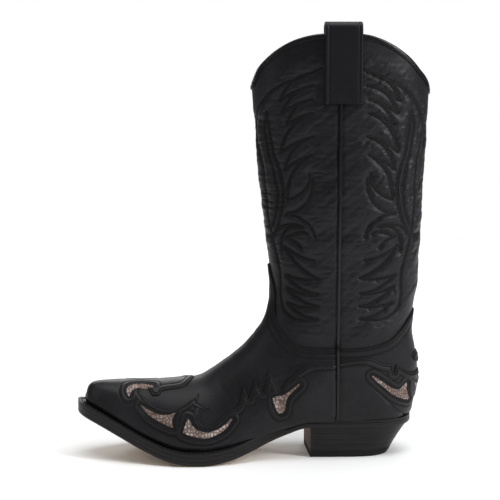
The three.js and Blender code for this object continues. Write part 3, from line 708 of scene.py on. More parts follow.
# Rings of the leg: front line x and height, back line x and height, then the same three.
leg_rows = [
    (71, 156, -58, 47, 33, 0.55, 2), (72, 168, -62.3, 62, 33.3, 0.52, 2),
    (73.3, 180, -62.3, 78, 33.6, 0.5, 2), (74.5, 192, -59.6, 95, 34, 0.5, 2),
    (75.6, 204, -57, 114, 34.5, 0.5, 2), (77, 217, -59.4, 136, 35, 0.5, 2),
    (78.7, 231, -62.3, 160, 36, 0.5, 2), (81.5, 255, -64.6, 207, 37.3, 0.5, 2),
    (84.8, 292, -67.3, 270, 38, 0.5, 2), (88.5, 333, -70.6, 328, 38, 0.5, 2),
    (92.3, 394, -73, 394, 38, 0.5, 2),
]
row_table = np.array([
    (fx, float(sole_top(fx)) + rise, bx, float(sole_top(bx)) - 6, half, widest, square)
    for fx, rise, bx, half, widest, square in foot_rows
] + leg_rows)
row_columns = [through(list(enumerate(column))) for column in row_table.T]
last_foot_row = len(foot_rows) - 1
row_reach = np.concatenate([[0], np.cumsum(np.maximum(
    np.hypot(*np.diff(row_table[:, 0:2], axis=0).T), np.hypot(*np.diff(row_table[:, 2:4], axis=0).T)
))])
nose_length = 1.2
half_round = 205


def ring_half(t):
    """One side of a ring, from the front line to the middle of the back or the bottom: x, z, distance out."""
    front_x, front_z, back_x, back_z, half, widest, square = (float(c(max(t, 0))) for c in row_columns)
    bottom = float(last_half(back_x)) * (1 - float(smoothstep(t, last_foot_row, last_foot_row + 0.8)))
    turn = np.linspace(0, np.pi / 2, 70)
    rise, run = np.sin(turn), np.clip(np.cos(turn), 0, 1)
    power = 2 / square
    past_widest = widest + (1 - widest) * rise[1:] ** power
    along = np.concatenate([widest * (1 - run ** power), past_widest, [1, 1, 1]])
    out = np.concatenate([half * rise ** power, bottom + (half - bottom) * run[1:] ** power,
                          bottom * np.array([0.66, 0.33, 0])])
    x = front_x + (back_x - front_x) * along
    z = front_z + (back_z - front_z) * along
    if t < 0:
        shrink = math.cos(-t * math.pi / 2)
        x = x + nose_length * math.sin(-t * math.pi / 2)
        z = z.mean() + (z - z.mean()) * shrink
        out = out * shrink
    return x, z, out


class Sheet:
    """A patch of leather as triangles. Each point carries x, y, z, its normal, its distance behind the side
    seam along the ring, and the ring it lies on."""

    def __init__(self, values, faces):
        self.values = values
        self.faces = faces

    def points(self, height=0.0):
        return self.values[:, :3] + self.values[:, 3:6] * np.reshape(height, (-1, 1))

    def cut(self, field, both=False):
        """Splits the triangles along the zero line of a field. Drops the negative side unless both stay.
        Returns the sheet and the new line as pairs of point numbers."""
        level = field(self)
        level = np.where(np.abs(level) < 1e-5, 1e-5, level)
        inside = level > 0
        flags = inside[self.faces]
        total = flags.sum(1)
        split = (total == 1) | (total == 2)
        crossing = self.faces[split]
        lone = np.where((total[split] == 1)[:, None], flags[split], ~flags[split])
        first = lone.argmax(1)
        rows = np.arange(len(crossing))
        a, b, c = (crossing[rows, (first + k) % 3] for k in range(3))
        pairs = np.sort(np.concatenate([np.stack([a, b], 1), np.stack([a, c], 1)]), axis=1)
        edges, index = np.unique(pairs, axis=0, return_inverse=True)
        index = index.reshape(-1) + len(self.values)
        start, end = level[edges[:, 0]], level[edges[:, 1]]
        share = np.clip(start / (start - end), 0.02, 0.98)[:, None] if len(edges) else np.zeros((0, 1))
        fresh = self.values[edges[:, 0]] * (1 - share) + self.values[edges[:, 1]] * share
        p, q = index[:len(crossing)], index[len(crossing):]
        tips = np.stack([a, p, q], 1)
        bases = np.concatenate([np.stack([p, b, c], 1), np.stack([p, c, q], 1)])
        one = total[split] == 1
        both_one = np.concatenate([one, one])
        kept = [self.faces[total == 3], tips[one], bases[~both_one]]
        if both:
            kept += [self.faces[total == 0], tips[~one], bases[both_one]]
        sheet = Sheet(np.concatenate([self.values, fresh]), np.concatenate(kept))
        line = np.where(one[:, None], np.stack([p, q], 1), np.stack([q, p], 1))
        return sheet.tidied(line)

    def tidied(self, line):
        """Drops points that no triangle uses."""
        used = np.unique(self.faces)
        renumber = np.full(len(self.values), -1)
        renumber[used] = np.arange(len(used))
        return Sheet(self.values[used], renumber[self.faces]), renumber[line]

    def border(self):
        """Edges that only one triangle uses, as pairs of point numbers in the triangles' order."""
        edges = np.concatenate([self.faces[:, [0, 1]], self.faces[:, [1, 2]], self.faces[:, [2, 0]]])
        ordered = np.sort(edges, axis=1)
        keys = ordered[:, 0] * len(self.values) + ordered[:, 1]
        _, index, counts = np.unique(keys, return_index=True, return_counts=True)
        return edges[index[counts == 1]]


def patch(first_row, last_row, first_share, last_share, pitch):
    """A patch of the last between two rings and two shares of the way round, 0 at the front line and 1 at
    the back line. Shares run on past 1 onto the inner side, and negative ones lie on the inner side."""
    reach = np.interp([max(first_row, 0), last_row], range(len(row_reach)), row_reach)
    steps = max(int((reach[1] - reach[0]) / pitch), 4)
    rows = np.interp(np.linspace(*reach, steps), row_reach, range(len(row_reach)))
    if first_row < 0:
        rows = np.concatenate([-np.sin(np.linspace(np.pi / 2, 0, 6, endpoint=False)) * 0.97, rows])
    columns = max(int(half_round * (last_share - first_share) / pitch), 6)
    shares = np.linspace(first_share, last_share, columns)
    folded = np.where(np.abs(shares) <= 1, np.abs(shares), 2 - np.abs(shares))
    side = np.where(np.abs(shares) <= 1, np.sign(shares), -np.sign(shares))
    grid = np.zeros((len(rows), columns, 8))
    for i, t in enumerate(rows):
        x, z, out = ring_half(t)
        strides = np.sqrt(np.diff(x) ** 2 + np.diff(z) ** 2 + np.diff(out) ** 2)
        lengths = np.concatenate([[0], np.cumsum(strides)])
        places = folded * lengths[-1]
        px, pz = np.interp(places, lengths, x), np.interp(places, lengths, z)
        seam_place = np.interp(-seam_x, -x, lengths) if x[0] > seam_x > x[-1] else lengths[-1]
        centre = last_centre(px) * (1 - np.clip((pz - ankle_height) / (shaft_height - ankle_height), 0, 1))
        grid[i, :, 0] = px
        grid[i, :, 1] = centre + side * np.interp(places, lengths, out)
        grid[i, :, 2] = pz
        grid[i, :, 6] = places - seam_place
        grid[i, :, 7] = t
    around = np.gradient(grid[:, :, :3], axis=1)
    along = np.gradient(grid[:, :, :3], axis=0)
    grid[:, :, 3:6] = unit(np.cross(around, along))
    number = np.arange(len(rows) * columns).reshape(len(rows), columns)
    a, b = number[:-1, :-1].ravel(), number[:-1, 1:].ravel()
    c, d = number[1:, 1:].ravel(), number[1:, :-1].ravel()
    faces = np.concatenate([np.stack([a, b, c], 1), np.stack([a, c, d], 1)])
    return Sheet(grid.reshape(-1, 8), faces)


def smoothed(knots, corner=48, step=1.2):
    """A drawn outline as a smooth curve that keeps its sharp corners."""
    knots = np.asarray(knots, float)
    ahead, behind = unit(knots[2:] - knots[1:-1]), unit(knots[1:-1] - knots[:-2])
    sharp = [0] + [i + 1 for i in range(len(ahead)) if ahead[i] @ behind[i] < math.cos(math.radians(corner))]
    sharp.append(len(knots) - 1)
    pieces = []
    for start, end in zip(sharp[:-1], sharp[1:]):
        run = knots[start:end + 1]
        padded = np.concatenate([2 * run[:1] - run[1:2], run, 2 * run[-1:] - run[-2:-1]])
        for i in range(len(run) - 1):
            p0, p1, p2, p3 = padded[i:i + 4]
            t = np.linspace(0, 1, max(int(np.linalg.norm(p2 - p1) / step), 1), endpoint=False)[:, None]
            square, cube = 2 * p0 - 5 * p1 + 4 * p2 - p3, 3 * p1 - p0 - 3 * p2 + p3
            bend = (p2 - p0) * t + square * t ** 2 + cube * t ** 3
            pieces.append(p1 + 0.5 * bend)
    return np.concatenate(pieces + [knots[-1:]])


def signed_distance(line, closing=()):
    """A field over side-view x and z: distance to a line, positive inside the outline that the line makes
    with its closing points."""
    loop = np.concatenate([line, np.reshape(closing, (-1, 2))])
    ends = np.roll(loop, -1, 0)
    starts, spans = line[:-1], np.diff(line, axis=0)
    if len(closing) == 0:
        starts, spans = loop, ends - loop
    square = np.maximum((spans ** 2).sum(1), 1e-9)

    def field(sheet):
        spots = sheet.values[:, [0, 2]]
        result = np.empty(len(spots))
        for first in range(0, len(spots), 8000):
            p = spots[first:first + 8000]
            gap_x, gap_z = p[:, :1] - starts[:, 0], p[:, 1:] - starts[:, 1]
            t = np.clip((gap_x * spans[:, 0] + gap_z * spans[:, 1]) / square, 0, 1)
            distance = np.sqrt(((gap_x - t * spans[:, 0]) ** 2 + (gap_z - t * spans[:, 1]) ** 2).min(1))
            rises = (loop[:, 1] > p[:, 1:]) != (ends[:, 1] > p[:, 1:])
            height = np.where(ends[:, 1] == loop[:, 1], 1e-9, ends[:, 1] - loop[:, 1])
            crossing = loop[:, 0] + (p[:, 1:] - loop[:, 1]) * (ends[:, 0] - loop[:, 0]) / height
            odd = (rises & (p[:, :1] < crossing)).sum(1) % 2 == 1
            result[first:first + 8000] = np.where(odd, distance, -distance)
        return result

    return field


far = 500.0


def under(line):
    """The field below a line that runs from back to front."""
    round_below = [(far, line[-1][1]), (far, -far), (-far, -far), (-far, line[0][1])]
    return signed_distance(np.asarray(line, float), round_below)


def on_sole(sheet):
    """Positive above the crease where the upper meets the welt."""
    return sheet.values[:, 2] - sole_top(sheet.values[:, 0]) - 0.2


topline = smoothed([
    (-74, 322), (-70.6, 329), (-68, 336), (-64, 341.8), (-58.5, 347.4), (-53.5, 353), (-48, 358.3),
    (-41, 363.5), (-32, 369), (-21, 374), (-8, 377.6), (12, 379), (34.5, 377.8), (50, 374.3), (61, 369.5),
    (69.5, 364), (75, 359.3), (80, 354), (84, 348), (87.2, 338), (89.4, 330), (92, 322),
])
under_topline = under(topline)


def calf_finish():
    """Vegetable-tanned lining calf: warm tan, soft pores, faint rub marks."""
    finish = Finish("lining_calf")
    cloud = finish.noise(22, 4)
    pores = finish.cells(900)
    rubbed = finish.noise(90, 3, (1, 1, 0.25))
    colour = finish.mix(cloud.step(0.3, 0.75), (0.34, 0.235, 0.145), (0.44, 0.32, 0.21))
    return finish.surface(
        Base_Color=colour,
        Roughness=0.6 + 0.2 * rubbed,
        Normal=finish.bump(pores + rubbed * 0.5, 0.0002, 0.35),
    )


lining = patch(9, 26, -1, 1, 2.2)
lining, _ = lining.cut(lambda s: under_topline(s) - 0.9)
lining, _ = lining.cut(on_sole)
lining_depth = 2.45
lining_points = lining.points(-lining_depth)
lining_calf = calf_finish()
add_piece("leg_lining", lining_points, lining.faces[:, ::-1], lining_calf,
          ["lining_front", "lining_back", "vamp_lining", "heel_lining"])

# ----------------------------------------
# Vamp and counter cover: smooth black calf pulled tight over the foot. Their top
# edges lie over the leg panels and are held by rows of fine black lockstitch.
# ----------------------------------------

shaft_level = 0.0
vamp_level = 1.7
overlay_level = 3.0

ripple_waves = np.random.default_rng(7).normal(size=(14, 3))
ripple_shifts = np.random.default_rng(8).uniform(0, 2 * np.pi, 14)


def ripple(points, length, stretch=(1, 1, 1)):
    """Soft seeded unevenness from -1 to 1 with a typical length in millimetres."""
    place = points * np.asarray(stretch) * (2 * np.pi / length)
    waves = np.sin(place @ ripple_waves.T * 0.75 + ripple_shifts)
    return np.clip(waves.sum(1) / 3.7, -1.2, 1.2)


def creases(points, length, stretch):
    """Thin valleys where a ripple changes sign, as in worn leather."""
    return -hump(ripple(points, length, stretch), 0.16)


def leather_finish(name, colour, rough, grain=0.5, coat=0.05):
    """Aniline black calf: deep pores, soft pull-up clouds, finer creases in the grain, and painted shade
    (partly burnish) where the points are marked along stitch grooves and edges.
    """
    finish = Finish(name)
    cloud = finish.noise(26, 5)
    fine = finish.noise(420, 4)
    pebble = finish.cells(1050)
    wrinkle = finish.noise(150, 6, (1, 1, 0.45), 0.65)
    light = [c * 1.75 + 0.001 for c in colour]
    tone = (cloud * 0.6 + fine * 0.4).step(0.36, 0.66)
    under = finish.bump(wrinkle, 0.0006, 0.35)
    # Marked points are painted near-black and made rougher: shade painted into the stitch grooves and along
    # cut edges, with some burnish.
    shade_and_burnish = finish.attribute("groove_shade_mark")
    return finish.surface(
        Base_Color=finish.mix(shade_and_burnish, finish.mix(tone, colour, light),
                              (0.0012, 0.001, 0.0013)),
        Roughness=rough - 0.07 + 0.16 * cloud + 0.06 * fine + 0.3 * shade_and_burnish,
        Coat_Weight=coat * (0.6 + 0.8 * cloud) * (1 - shade_and_burnish),
        Coat_Roughness=0.3,
        Normal=finish.bump(pebble * 0.6 + fine * 0.5, 0.00022, grain, under),
    )


def nearest_distance(points, line_points):
    """Distance from each point to the nearest of many points along a line."""
    tree = kdtree.KDTree(len(line_points))
    for i, spot in enumerate(line_points):
        tree.insert(spot, i)
    tree.balance()
    return np.array([tree.find(p)[2] for p in points])


def dense(sheet, edges):
    """Points every few tenths along edges of a sheet."""
    start, end = sheet.values[edges[:, 0], :3], sheet.values[edges[:, 1], :3]
    return np.concatenate([start * (1 - t) + end * t for t in (0, 0.25, 0.5, 0.75)])


def chained(edges):
    """Joins edges into runs of point numbers."""
    links = {}
    for a, b in edges:
        if a != b:
            links.setdefault(int(a), []).append(int(b))
            links.setdefault(int(b), []).append(int(a))
    runs, seen = [], set()
    starts = sorted(links, key=lambda n: (len(links[n]) != 1, n))
    for start in starts:
        if start in seen:
            continue
        run = [start]
        seen.add(start)
        while True:
            ahead = [n for n in links[run[-1]] if n not in seen]
            if not ahead:
                break
            run.append(ahead[0])
            seen.add(ahead[0])
        if len(run) > 3 and run[0] in links[run[-1]]:
            run.append(run[0])
        runs.append(run)
    return runs


def even_line(values, width=3):
    """Takes the jitter out of a line, leaving its ends."""
    line = values.copy()
    for _ in range(width):
        line[1:-1] = (line[:-2] + 2 * line[1:-1] + line[2:]) / 4
    return line


def stitch_along(stitches, sheet, distance, height, inset, lift=0.12, shortest=8.0, allowed=None):
    """Sews a row at an inset from an edge, given every point's distance from that edge."""
    marked = Sheet(np.column_stack([sheet.values, distance, height]), sheet.faces)
    found, line = marked.cut(lambda s: s.values[:, 8] - inset, both=True)
    for run in chained(line):
        row = found.values[run]
        if allowed is not None:
            row = row[allowed(row)]
        if len(row) < 4:
            continue
        row = even_line(row)
        spots = row[:, :3] + row[:, 3:6] * (row[:, 9:10] + lift)
        if np.linalg.norm(np.diff(spots, axis=0), axis=1).sum() > shortest:
            stitches.row(spots, row[:, 3:6])


def with_rim(points, normals, faces, edges, depth):
    """Adds a rim that drops inward from the given edges."""
    used, index = np.unique(edges, return_inverse=True)
    index = index.reshape(edges.shape) + len(points)
    rim = points[used] - normals[used] * depth
    walls = np.concatenate([
        np.stack([edges[:, 1], edges[:, 0], index[:, 0]], 1),
        np.stack([edges[:, 1], index[:, 0], index[:, 1]], 1),
    ])
    return np.concatenate([points, rim]), np.concatenate([faces, walls])


def leather_panel(sheet, edge_fields, level, thickness, roll=1.1, stitch_insets=(), groove=0.32):
    """Cuts a panel to its edges. Returns the sheet, each point's height and its distance from the cut edges:
    the edge rolls down over its thickness, and a groove follows each stitch row."""
    spots = []
    for field in edge_fields:
        sheet, line = sheet.cut(field)
        if len(line):
            spots.append(dense(sheet, line))
    if spots:
        spots = np.concatenate(spots)
        rings = sorted({0.4, roll, *[i + k for i in stitch_insets for k in (-0.55, 0, 0.55)]})
        distance = nearest_distance(sheet.values[:, :3], spots)
        for inset in rings:
            extended = Sheet(np.column_stack([sheet.values, distance]), sheet.faces)
            near = distance < max(rings) + 3
            if near.any():
                extended, _ = extended.cut(lambda s, inset=inset: s.values[:, 8] - inset, both=True)
            sheet, distance = Sheet(extended.values[:, :8], extended.faces), extended.values[:, 8]
    else:
        distance = np.full(len(sheet.values), 99.0)
    turn = np.clip(distance / roll, 0, 1)
    height = level - thickness * (1 - np.sqrt(np.clip(1 - (1 - turn) ** 2, 0, 1)))
    for inset in stitch_insets:
        height = height - groove * hump(distance - inset, 0.5)
    return sheet, height, distance


def tuck(sheet, reach=5.0, depth=1.0):
    """How far the upper turns in as it meets the welt."""
    rise = np.clip(on_sole(sheet) / reach, 0, 1)
    return -depth * (1 - rise) ** 2


def beside_seam(sheet, reach=3.2, depth=0.75):
    """How far a panel dips beside the side seam's piping."""
    away = np.abs(sheet.values[:, 0] - seam_x) - 1.6
    return -depth * hump(np.clip(away, 0, None), reach / 2)


def groove_shade_and_burnish(distance, insets, width=0.75):
    """Marks from 0 to 1 where a leather's edge and stitch grooves are painted dark: shade in the grooves and
    at the edge, with some burnish.
    """
    return np.max([hump(distance - inset, width) for inset in insets], axis=0)


def finish_panel(name, sheet, height, thickness, material, stands_for, shade_marks=None):
    """Makes a panel into a piece, with a rim as deep as its leather is thick."""
    normals = sheet.values[:, 3:6]
    points, faces = with_rim(sheet.points(height), normals, sheet.faces, sheet.border(), thickness)
    return add_piece(name, points, faces, material, stands_for, sharp=55, shade_marks=shade_marks)


def ahead_of_seam(sheet):
    return sheet.values[:, 0] - seam_x - 1.0


def behind_seam(sheet):
    return seam_x - 1.0 - sheet.values[:, 0]


vamp_edge = smoothed([
    (seam_x - 6, 101.2), (33, 101.5), (48, 102.8), (57, 108.2), (65, 119), (67.5, 127.7), (67.8, 136.5),
    (67.6, 150), (69, 157), (70.8, 165), (72.3, 173), (74.5, 180), (90, 186),
])
counter_edge = smoothed([
    (-80, 140), (-66, 139), (-62.4, 138.4), (-58.7, 131.5), (-53.1, 124.2), (-45.4, 115.8), (-34, 107),
    (-21.5, 103), (-6.3, 101), (seam_x + 6, 100.6),
])
black_calf = leather_finish("black_calf", (0.005, 0.0046, 0.0058), 0.42, 0.5, 0.05)
upper_stitches = Stitches(0.62, 1.9, 2.3)
vamp_rows = (2.0, 4.4, 9.0)
counter_rows = (2.0, 7.6)

sheet = patch(-0.99, 20.6, -0.999, 0.999, 1.15)
sheet, _ = sheet.cut(on_sole)
sheet, _ = sheet.cut(ahead_of_seam)
sheet, height, distance = leather_panel(sheet, [under(vamp_edge)], vamp_level, 1.4, 1.2, vamp_rows[:2])
height += tuck(sheet) + beside_seam(sheet) + 0.22 * ripple(sheet.values[:, :3], 46)
flex_ring, flex_reach = 11.5, 3.2
flex = hump(sheet.values[:, 7] - flex_ring, flex_reach)
height += 0.35 * flex * creases(sheet.values[:, :3], 60, (1.6, 0.35, 1))
for inset in vamp_rows:
    stitch_along(upper_stitches, sheet, distance, height, inset, allowed=lambda row: row[:, 0] > seam_x + 2.5)
# The vamp's edge and stitch grooves are marked for painted shade, partly burnish.
finish_panel("vamp_calf", sheet, height, 1.5, black_calf, ["vamp"],
             shade_marks=groove_shade_and_burnish(distance, (0.0, *vamp_rows)))

sheet = patch(9.5, 22.5, 0.3, 1.7, 1.2)
sheet, _ = sheet.cut(on_sole)
sheet, _ = sheet.cut(behind_seam)
sheet, height, distance = leather_panel(sheet, [under(counter_edge)], vamp_level, 1.4, 1.2, counter_rows[:1])
height += tuck(sheet) + beside_seam(sheet) + 0.2 * ripple(sheet.values[:, :3], 40)
for inset in counter_rows:
    stitch_along(upper_stitches, sheet, distance, height, inset, allowed=lambda row: row[:, 0] < seam_x - 2.5)
# The counter's edge and stitch grooves are marked for painted shade, partly burnish.
finish_panel("counter_calf", sheet, height, 1.5, black_calf, ["counter_cover"],
             shade_marks=groove_shade_and_burnish(distance, (0.0, *counter_rows)))

# ----------------------------------------
# Foxings: the toe wing and the heel wing, cut in flames and scrolls from a second
# layer of calf with windows in them, laid over the vamp and sewn all round.
# ----------------------------------------


def on_foot(outline):
    """Puts an outline drawn as height over the sole in its place."""
    return [(x, float(sole_top(x)) + rise) for x, rise in outline]


front_foxing_edge = smoothed(on_foot([
    (seam_x - 6, 53), (30, 53.9), (41, 51.8), (52, 48.3), (61, 42.6), (66, 35.8), (69, 44.1), (76, 55.2),
    (81, 37.9), (88, 49.8), (94, 36.5), (98, 49.7), (104, 34.5), (113, 31.1), (128, 23), (136, 23.1),
    (139, 28.1), (136, 33.8), (128, 36.5), (139, 42), (137, 49), (140.5, 45.5), (145, 43.2),
    (152, 38.5), (162, 33), (172, 30.5), (183, 31.2), (190, 34.5), (188.5, 38.6), (184, 40.4),
    (179, 37), (173, 40), (169, 44.5), (153, 50.5), (143, 56), (137, 62), (136, 90),
]))
heel_foxing_edge = smoothed(on_foot([
    (-80, 58), (-63, 58), (-57, 58.3), (-55.5, 54.3), (-57.6, 49.8), (-63, 46.2), (-63, 41.5), (-56.4, 40.1),
    (-48.7, 42.9), (-38.5, 50.1), (-36.6, 42.1), (-35.1, 50.4), (-27, 51.6), (-15, 56.9), (-5, 58.4),
    (3, 57.7), (seam_x + 6, 54.6),
]))
window_outlines = {
    "toe_crescent": [
        (198, 25), (202, 28), (201.5, 31.6), (197, 36), (188, 41), (177, 45), (177, 42.6), (187, 38.4),
        (193.5, 34.6), (197.2, 31), (198.2, 28),
    ],
    "toe_wedge": [
        (192, 26.3), (183, 21.5), (173.9, 20), (161, 18.5), (161, 26.3), (157, 33.7), (164, 29.8), (172, 27),
        (182, 25.9),
    ],
    "ball_wing": [
        (153.5, 16.5), (147.7, 31.1), (144, 23.5), (138, 19.4), (129, 17.6), (118, 20.6), (109.5, 25.9),
        (107.8, 24.1), (115, 17), (125.5, 13.3), (134, 12.3), (144, 13.6),
    ],
    "waist_bird": [
        (73.2, 31.5), (66, 32), (62, 31.8), (48.6, 38.4), (47.4, 36.2), (59.2, 27.5), (61.8, 16.5),
        (67.7, 15.5), (71.5, 24),
    ],
    "heel_wing": [
        (-12.3, 44.8), (-24.2, 37.2), (-36.8, 28.2), (-42.7, 26.6), (-48.6, 33), (-50.6, 31.4), (-51, 23.2),
        (-53.6, 15.8), (-50, 14.4), (-37.1, 20.4), (-30.2, 26.5), (-18.9, 36.8),
    ],
}
heel_back_outline = [
    (-57.3, 30.4), (-61.2, 27), (-65, 29.7), (-110, 29.7), (-110, 12.7), (-63, 12.7), (-60.6, 22),
]


def closed_curve(outline):
    """A window's outline as a smooth closed curve."""
    knots = on_foot(outline)
    return smoothed(knots + knots[:1], corner=60)[:-1]


windows = {name: signed_distance(closed_curve(outline)) for name, outline in window_outlines.items()}
heel_back_window = signed_distance(np.array(on_foot(heel_back_outline)))


def outside(window, clearance=0.0):
    return lambda sheet: -window(sheet) + clearance


overlay_calf = leather_finish("overlay_calf", (0.0052, 0.0047, 0.0058), 0.38, 0.42, 0.1)
foxing_stitches = Stitches(0.6, 1.9, 2.3)
foxing_thickness, edge_roll = 1.3, 1.9
foxing_inset, band_middle, second_inset = 2.1, 4.1, 6.4


def foxing(name, sheet, fields, beyond, slot_node):
    """A foxing with rolled edges and a raised band between two stitch rows inside every edge."""
    sheet, _ = sheet.cut(on_sole)
    sheet, _ = sheet.cut(beyond)
    sheet, height, distance = leather_panel(sheet, fields, overlay_level, foxing_thickness, edge_roll,
                                            (foxing_inset,), 0.42)
    height += 0.4 * hump(distance - band_middle, 1.3) - 0.35 * hump(distance - second_inset, 0.9)
    height += tuck(sheet, 6, 1.5) + beside_seam(sheet, 3.2, 1.2) + 0.25 * ripple(sheet.values[:, :3], 34)
    pucker = hump(distance - foxing_inset - 0.6, 1.4)
    height += 0.12 * pucker * ripple(sheet.values[:, :3], 5.5)
    stitch_along(foxing_stitches, sheet, distance, height, foxing_inset,
                 allowed=lambda row: np.abs(row[:, 0] - seam_x) > 2.5)
    stitch_along(foxing_stitches, sheet, distance, height, second_inset,
                 allowed=lambda row: np.abs(row[:, 0] - seam_x) > 2.5)
    # The foxing's edges and both stitch rows are marked for painted shade, partly burnish.
    finish_panel(name, sheet, height, 1.4, overlay_calf, [slot_node],
                 shade_marks=groove_shade_and_burnish(distance, (0.0, foxing_inset, second_inset)))


front_windows = [field for name, field in windows.items() if name != "heel_wing"]
front_fields = [under(front_foxing_edge)] + [outside(field, 0.6) for field in front_windows]
foxing("toe_wing", patch(-0.99, 14.5, -0.999, 0.999, 1.0), front_fields, ahead_of_seam, "front_foxing")
heel_fields = [under(heel_foxing_edge), outside(windows["heel_wing"], 0.7), outside(heel_back_window)]
foxing("heel_wing", patch(10, 19, 0.3, 1.7, 1.0), heel_fields, behind_seam, "heel_foxing")

# ----------------------------------------
# Inlays: strips of python skin that show through the foxings' windows, pale and
# dry, with overlapping scales edged in brown.
# ----------------------------------------


def snake_finish():
    """Python skin: cream and pinkish-grey scales, dark seams between them, brown saddles."""
    finish = Finish("python_skin")
    edge = finish.cells(380, "DISTANCE_TO_EDGE", (1, 1, 0.7), randomness=0.55)
    tone = finish.node("ShaderNodeSeparateColor", None,
                       {0: finish.cells(380, "F1", (1, 1, 0.7), "Color", 0.55)}, output="Red")
    saddle = finish.noise(60, 3).step(0.47, 0.6)
    fine = finish.noise(900, 3)
    pale = finish.mix(tone, (0.26, 0.2, 0.18), (0.5, 0.42, 0.385))
    patterned = finish.mix(saddle * 0.9 * (0.6 + 0.4 * tone), pale, (0.15, 0.095, 0.075))
    gap_dark = 1 - edge.step(0.03, 0.2)
    colour = finish.mix(gap_dark * 0.85, patterned, (0.06, 0.038, 0.03))
    return finish.surface(
        Base_Color=colour,
        Roughness=0.42 + 0.25 * gap_dark,
        Coat_Weight=0.15,
        Coat_Roughness=0.25,
        Normal=finish.bump(edge.step(0.0, 0.35) + fine * 0.12, 0.0006, 0.8),
    )


python_skin = snake_finish()
scale_length, scale_rise = 3.4, 0.42
inlay_level, inlay_overlap = 2.0, 0.5


def scaled(sheet, level):
    """Heights of overlapping scales in staggered rows."""
    along = sheet.values[:, 0] / scale_length
    up = sheet.values[:, 2] / (scale_length * 0.62)
    row = np.floor(up)
    across = (along + 0.5 * (row % 2)) % 1 - 0.5
    rise = up - row
    scale = np.clip(1 - (2 * across) ** 2, 0, 1) * (0.35 + 0.65 * (1 - rise))
    return level + scale_rise * scale


def inlay(name, window, side, sheet, node):
    if side:
        sheet, _ = sheet.cut(lambda s: side * (s.values[:, 1] + 3))
    sheet, _ = sheet.cut(on_sole)
    sheet, _ = sheet.cut(lambda s: window(s) + inlay_overlap)
    height = scaled(sheet, inlay_level)
    points, faces = with_rim(sheet.points(height), sheet.values[:, 3:6], sheet.faces, sheet.border(), 0.4)
    add_piece(name, points, faces, python_skin, [node], sharp=60)


places = {
    "toe_crescent": (0.3, 9, 0.01, 0.95), "toe_wedge": (1, 10, 0.2, 0.99), "ball_wing": (3, 12, 0.2, 0.99),
    "waist_bird": (7, 14, 0.2, 0.99), "heel_wing": (10, 19, 0.35, 0.999),
}
for window_name, (first, last, low_share, high_share) in places.items():
    for side_name, side in (("lateral", 1), ("medial", -1)):
        shares = (low_share, high_share) if side > 0 else (-high_share, -low_share)
        place_name = f"{window_name}_{side_name}"
        sheet = patch(first, last, *shares, 0.5)
        inlay(f"snake_{place_name}", windows[window_name], side, sheet, f"inlay_{place_name}")
inlay("snake_heel_back", heel_back_window, 0, patch(13, 18, 0.7, 1.3, 0.5), "inlay_heel_back")
foxing_stitches.add("foxing_stitching", black_thread, "overlay_leather")

# ----------------------------------------
# Leg panels: front and back halves of soft calf quilted onto their lining. Fancy
# double rows of stitching draw a border, flames and leaves, and the leather puffs
# up between the rows. The pattern is mirrored about the side seams.
# ----------------------------------------

row_spread = 1.1
puff_height, puff_reach = 0.75, 5
valley_depth, valley_reach = 0.45, 2.6
border_line = [
    (17, 349), (24, 345.5), (31, 342), (39, 339), (47, 337), (55, 333), (63, 328), (69, 322.5), (75, 317),
    (80, 310), (83, 302), (83.5, 293.6), (82, 282), (78, 273), (76, 263), (75, 246), (76, 228), (75, 208),
    (71, 189.5), (69, 180), (66.5, 169), (67.4, 158), (69, 147), (68, 137), (61, 130), (49, 126), (33, 126.5),
    (24, 127.6),
]
teardrop_lines = [
    [(67, 311), (66, 303), (64, 289), (61, 272), (58, 265), (55, 255), (54, 244), (55, 235), (58, 225),
     (65, 210)],
    [(67, 311), (68.4, 306), (70.3, 297), (68.3, 283), (66.5, 271), (64.3, 266), (62, 254), (60, 243),
     (61.6, 234), (64.4, 223), (71, 211)],
]
scroll_lines = [
    [(50, 234), (42.4, 236.6), (33, 243), (28.6, 250), (28, 257)],
    [(25.5, 253), (25.5, 247), (27.3, 239), (32.4, 231), (42.3, 224), (53, 221.4)],
    [(53, 221.4), (43, 219.6), (37, 216.4), (31, 213), (26.4, 206), (25, 201)],
    [(31.6, 203.6), (39, 205.6), (55, 201), (50, 198.6), (44.5, 196), (40, 191)],
    [(36.7, 210), (44, 212), (50, 212), (57, 210.7), (65, 208), (72.5, 202), (83.4, 200)],
    [(38.7, 210), (47, 210), (54, 208), (59.4, 203), (62.4, 196), (62.6, 188)],
]
flame_points = [
    (23.5, 345), (54, 321), (23.5, 334), (52, 310), (25, 322), (48, 300), (25, 310), (53.6, 276), (24, 289.6),
    (50.6, 260.6), (26, 273.5), (50, 234),
]
leaf_points = [
    (26.5, 180), (59, 192), (22.5, 164), (59, 166), (23.4, 150), (59, 155), (23, 139), (59.6, 141),
    (24.4, 127.6),
]


def bowed(start, end, share):
    """A line between two points that bulges to its left by a share of its length."""
    start, end = np.array(start, float), np.array(end, float)
    left = np.array([start[1] - end[1], end[0] - start[0]])
    t = np.linspace(0, 1, 30)[:, None]
    return start + (end - start) * t + 4 * share * t * (1 - t) * left


def zigzag(points, outward_bow, return_bow):
    bows = [outward_bow, return_bow] * len(points)
    return [bowed(a, b, bow) for a, b, bow in zip(points, points[1:], bows)]


pattern = [smoothed(line) for line in [border_line] + teardrop_lines + scroll_lines]
pattern += zigzag(flame_points, 0.15, -0.05) + zigzag(leaf_points, -0.06, 0.09)
pattern_spots = np.concatenate([
    resample(line, int(np.linalg.norm(line[-1] - line[0]) * 3) + 8) for line in pattern
])
pattern_spots = np.column_stack([pattern_spots, np.zeros(len(pattern_spots))])


def pattern_distance(sheet):
    """Distance to the nearest line of the pattern, measured over the flattened panel."""
    spots = np.column_stack([np.abs(sheet.values[:, 6]), sheet.values[:, 2], np.zeros(len(sheet.values))])
    return nearest_distance(spots, pattern_spots)


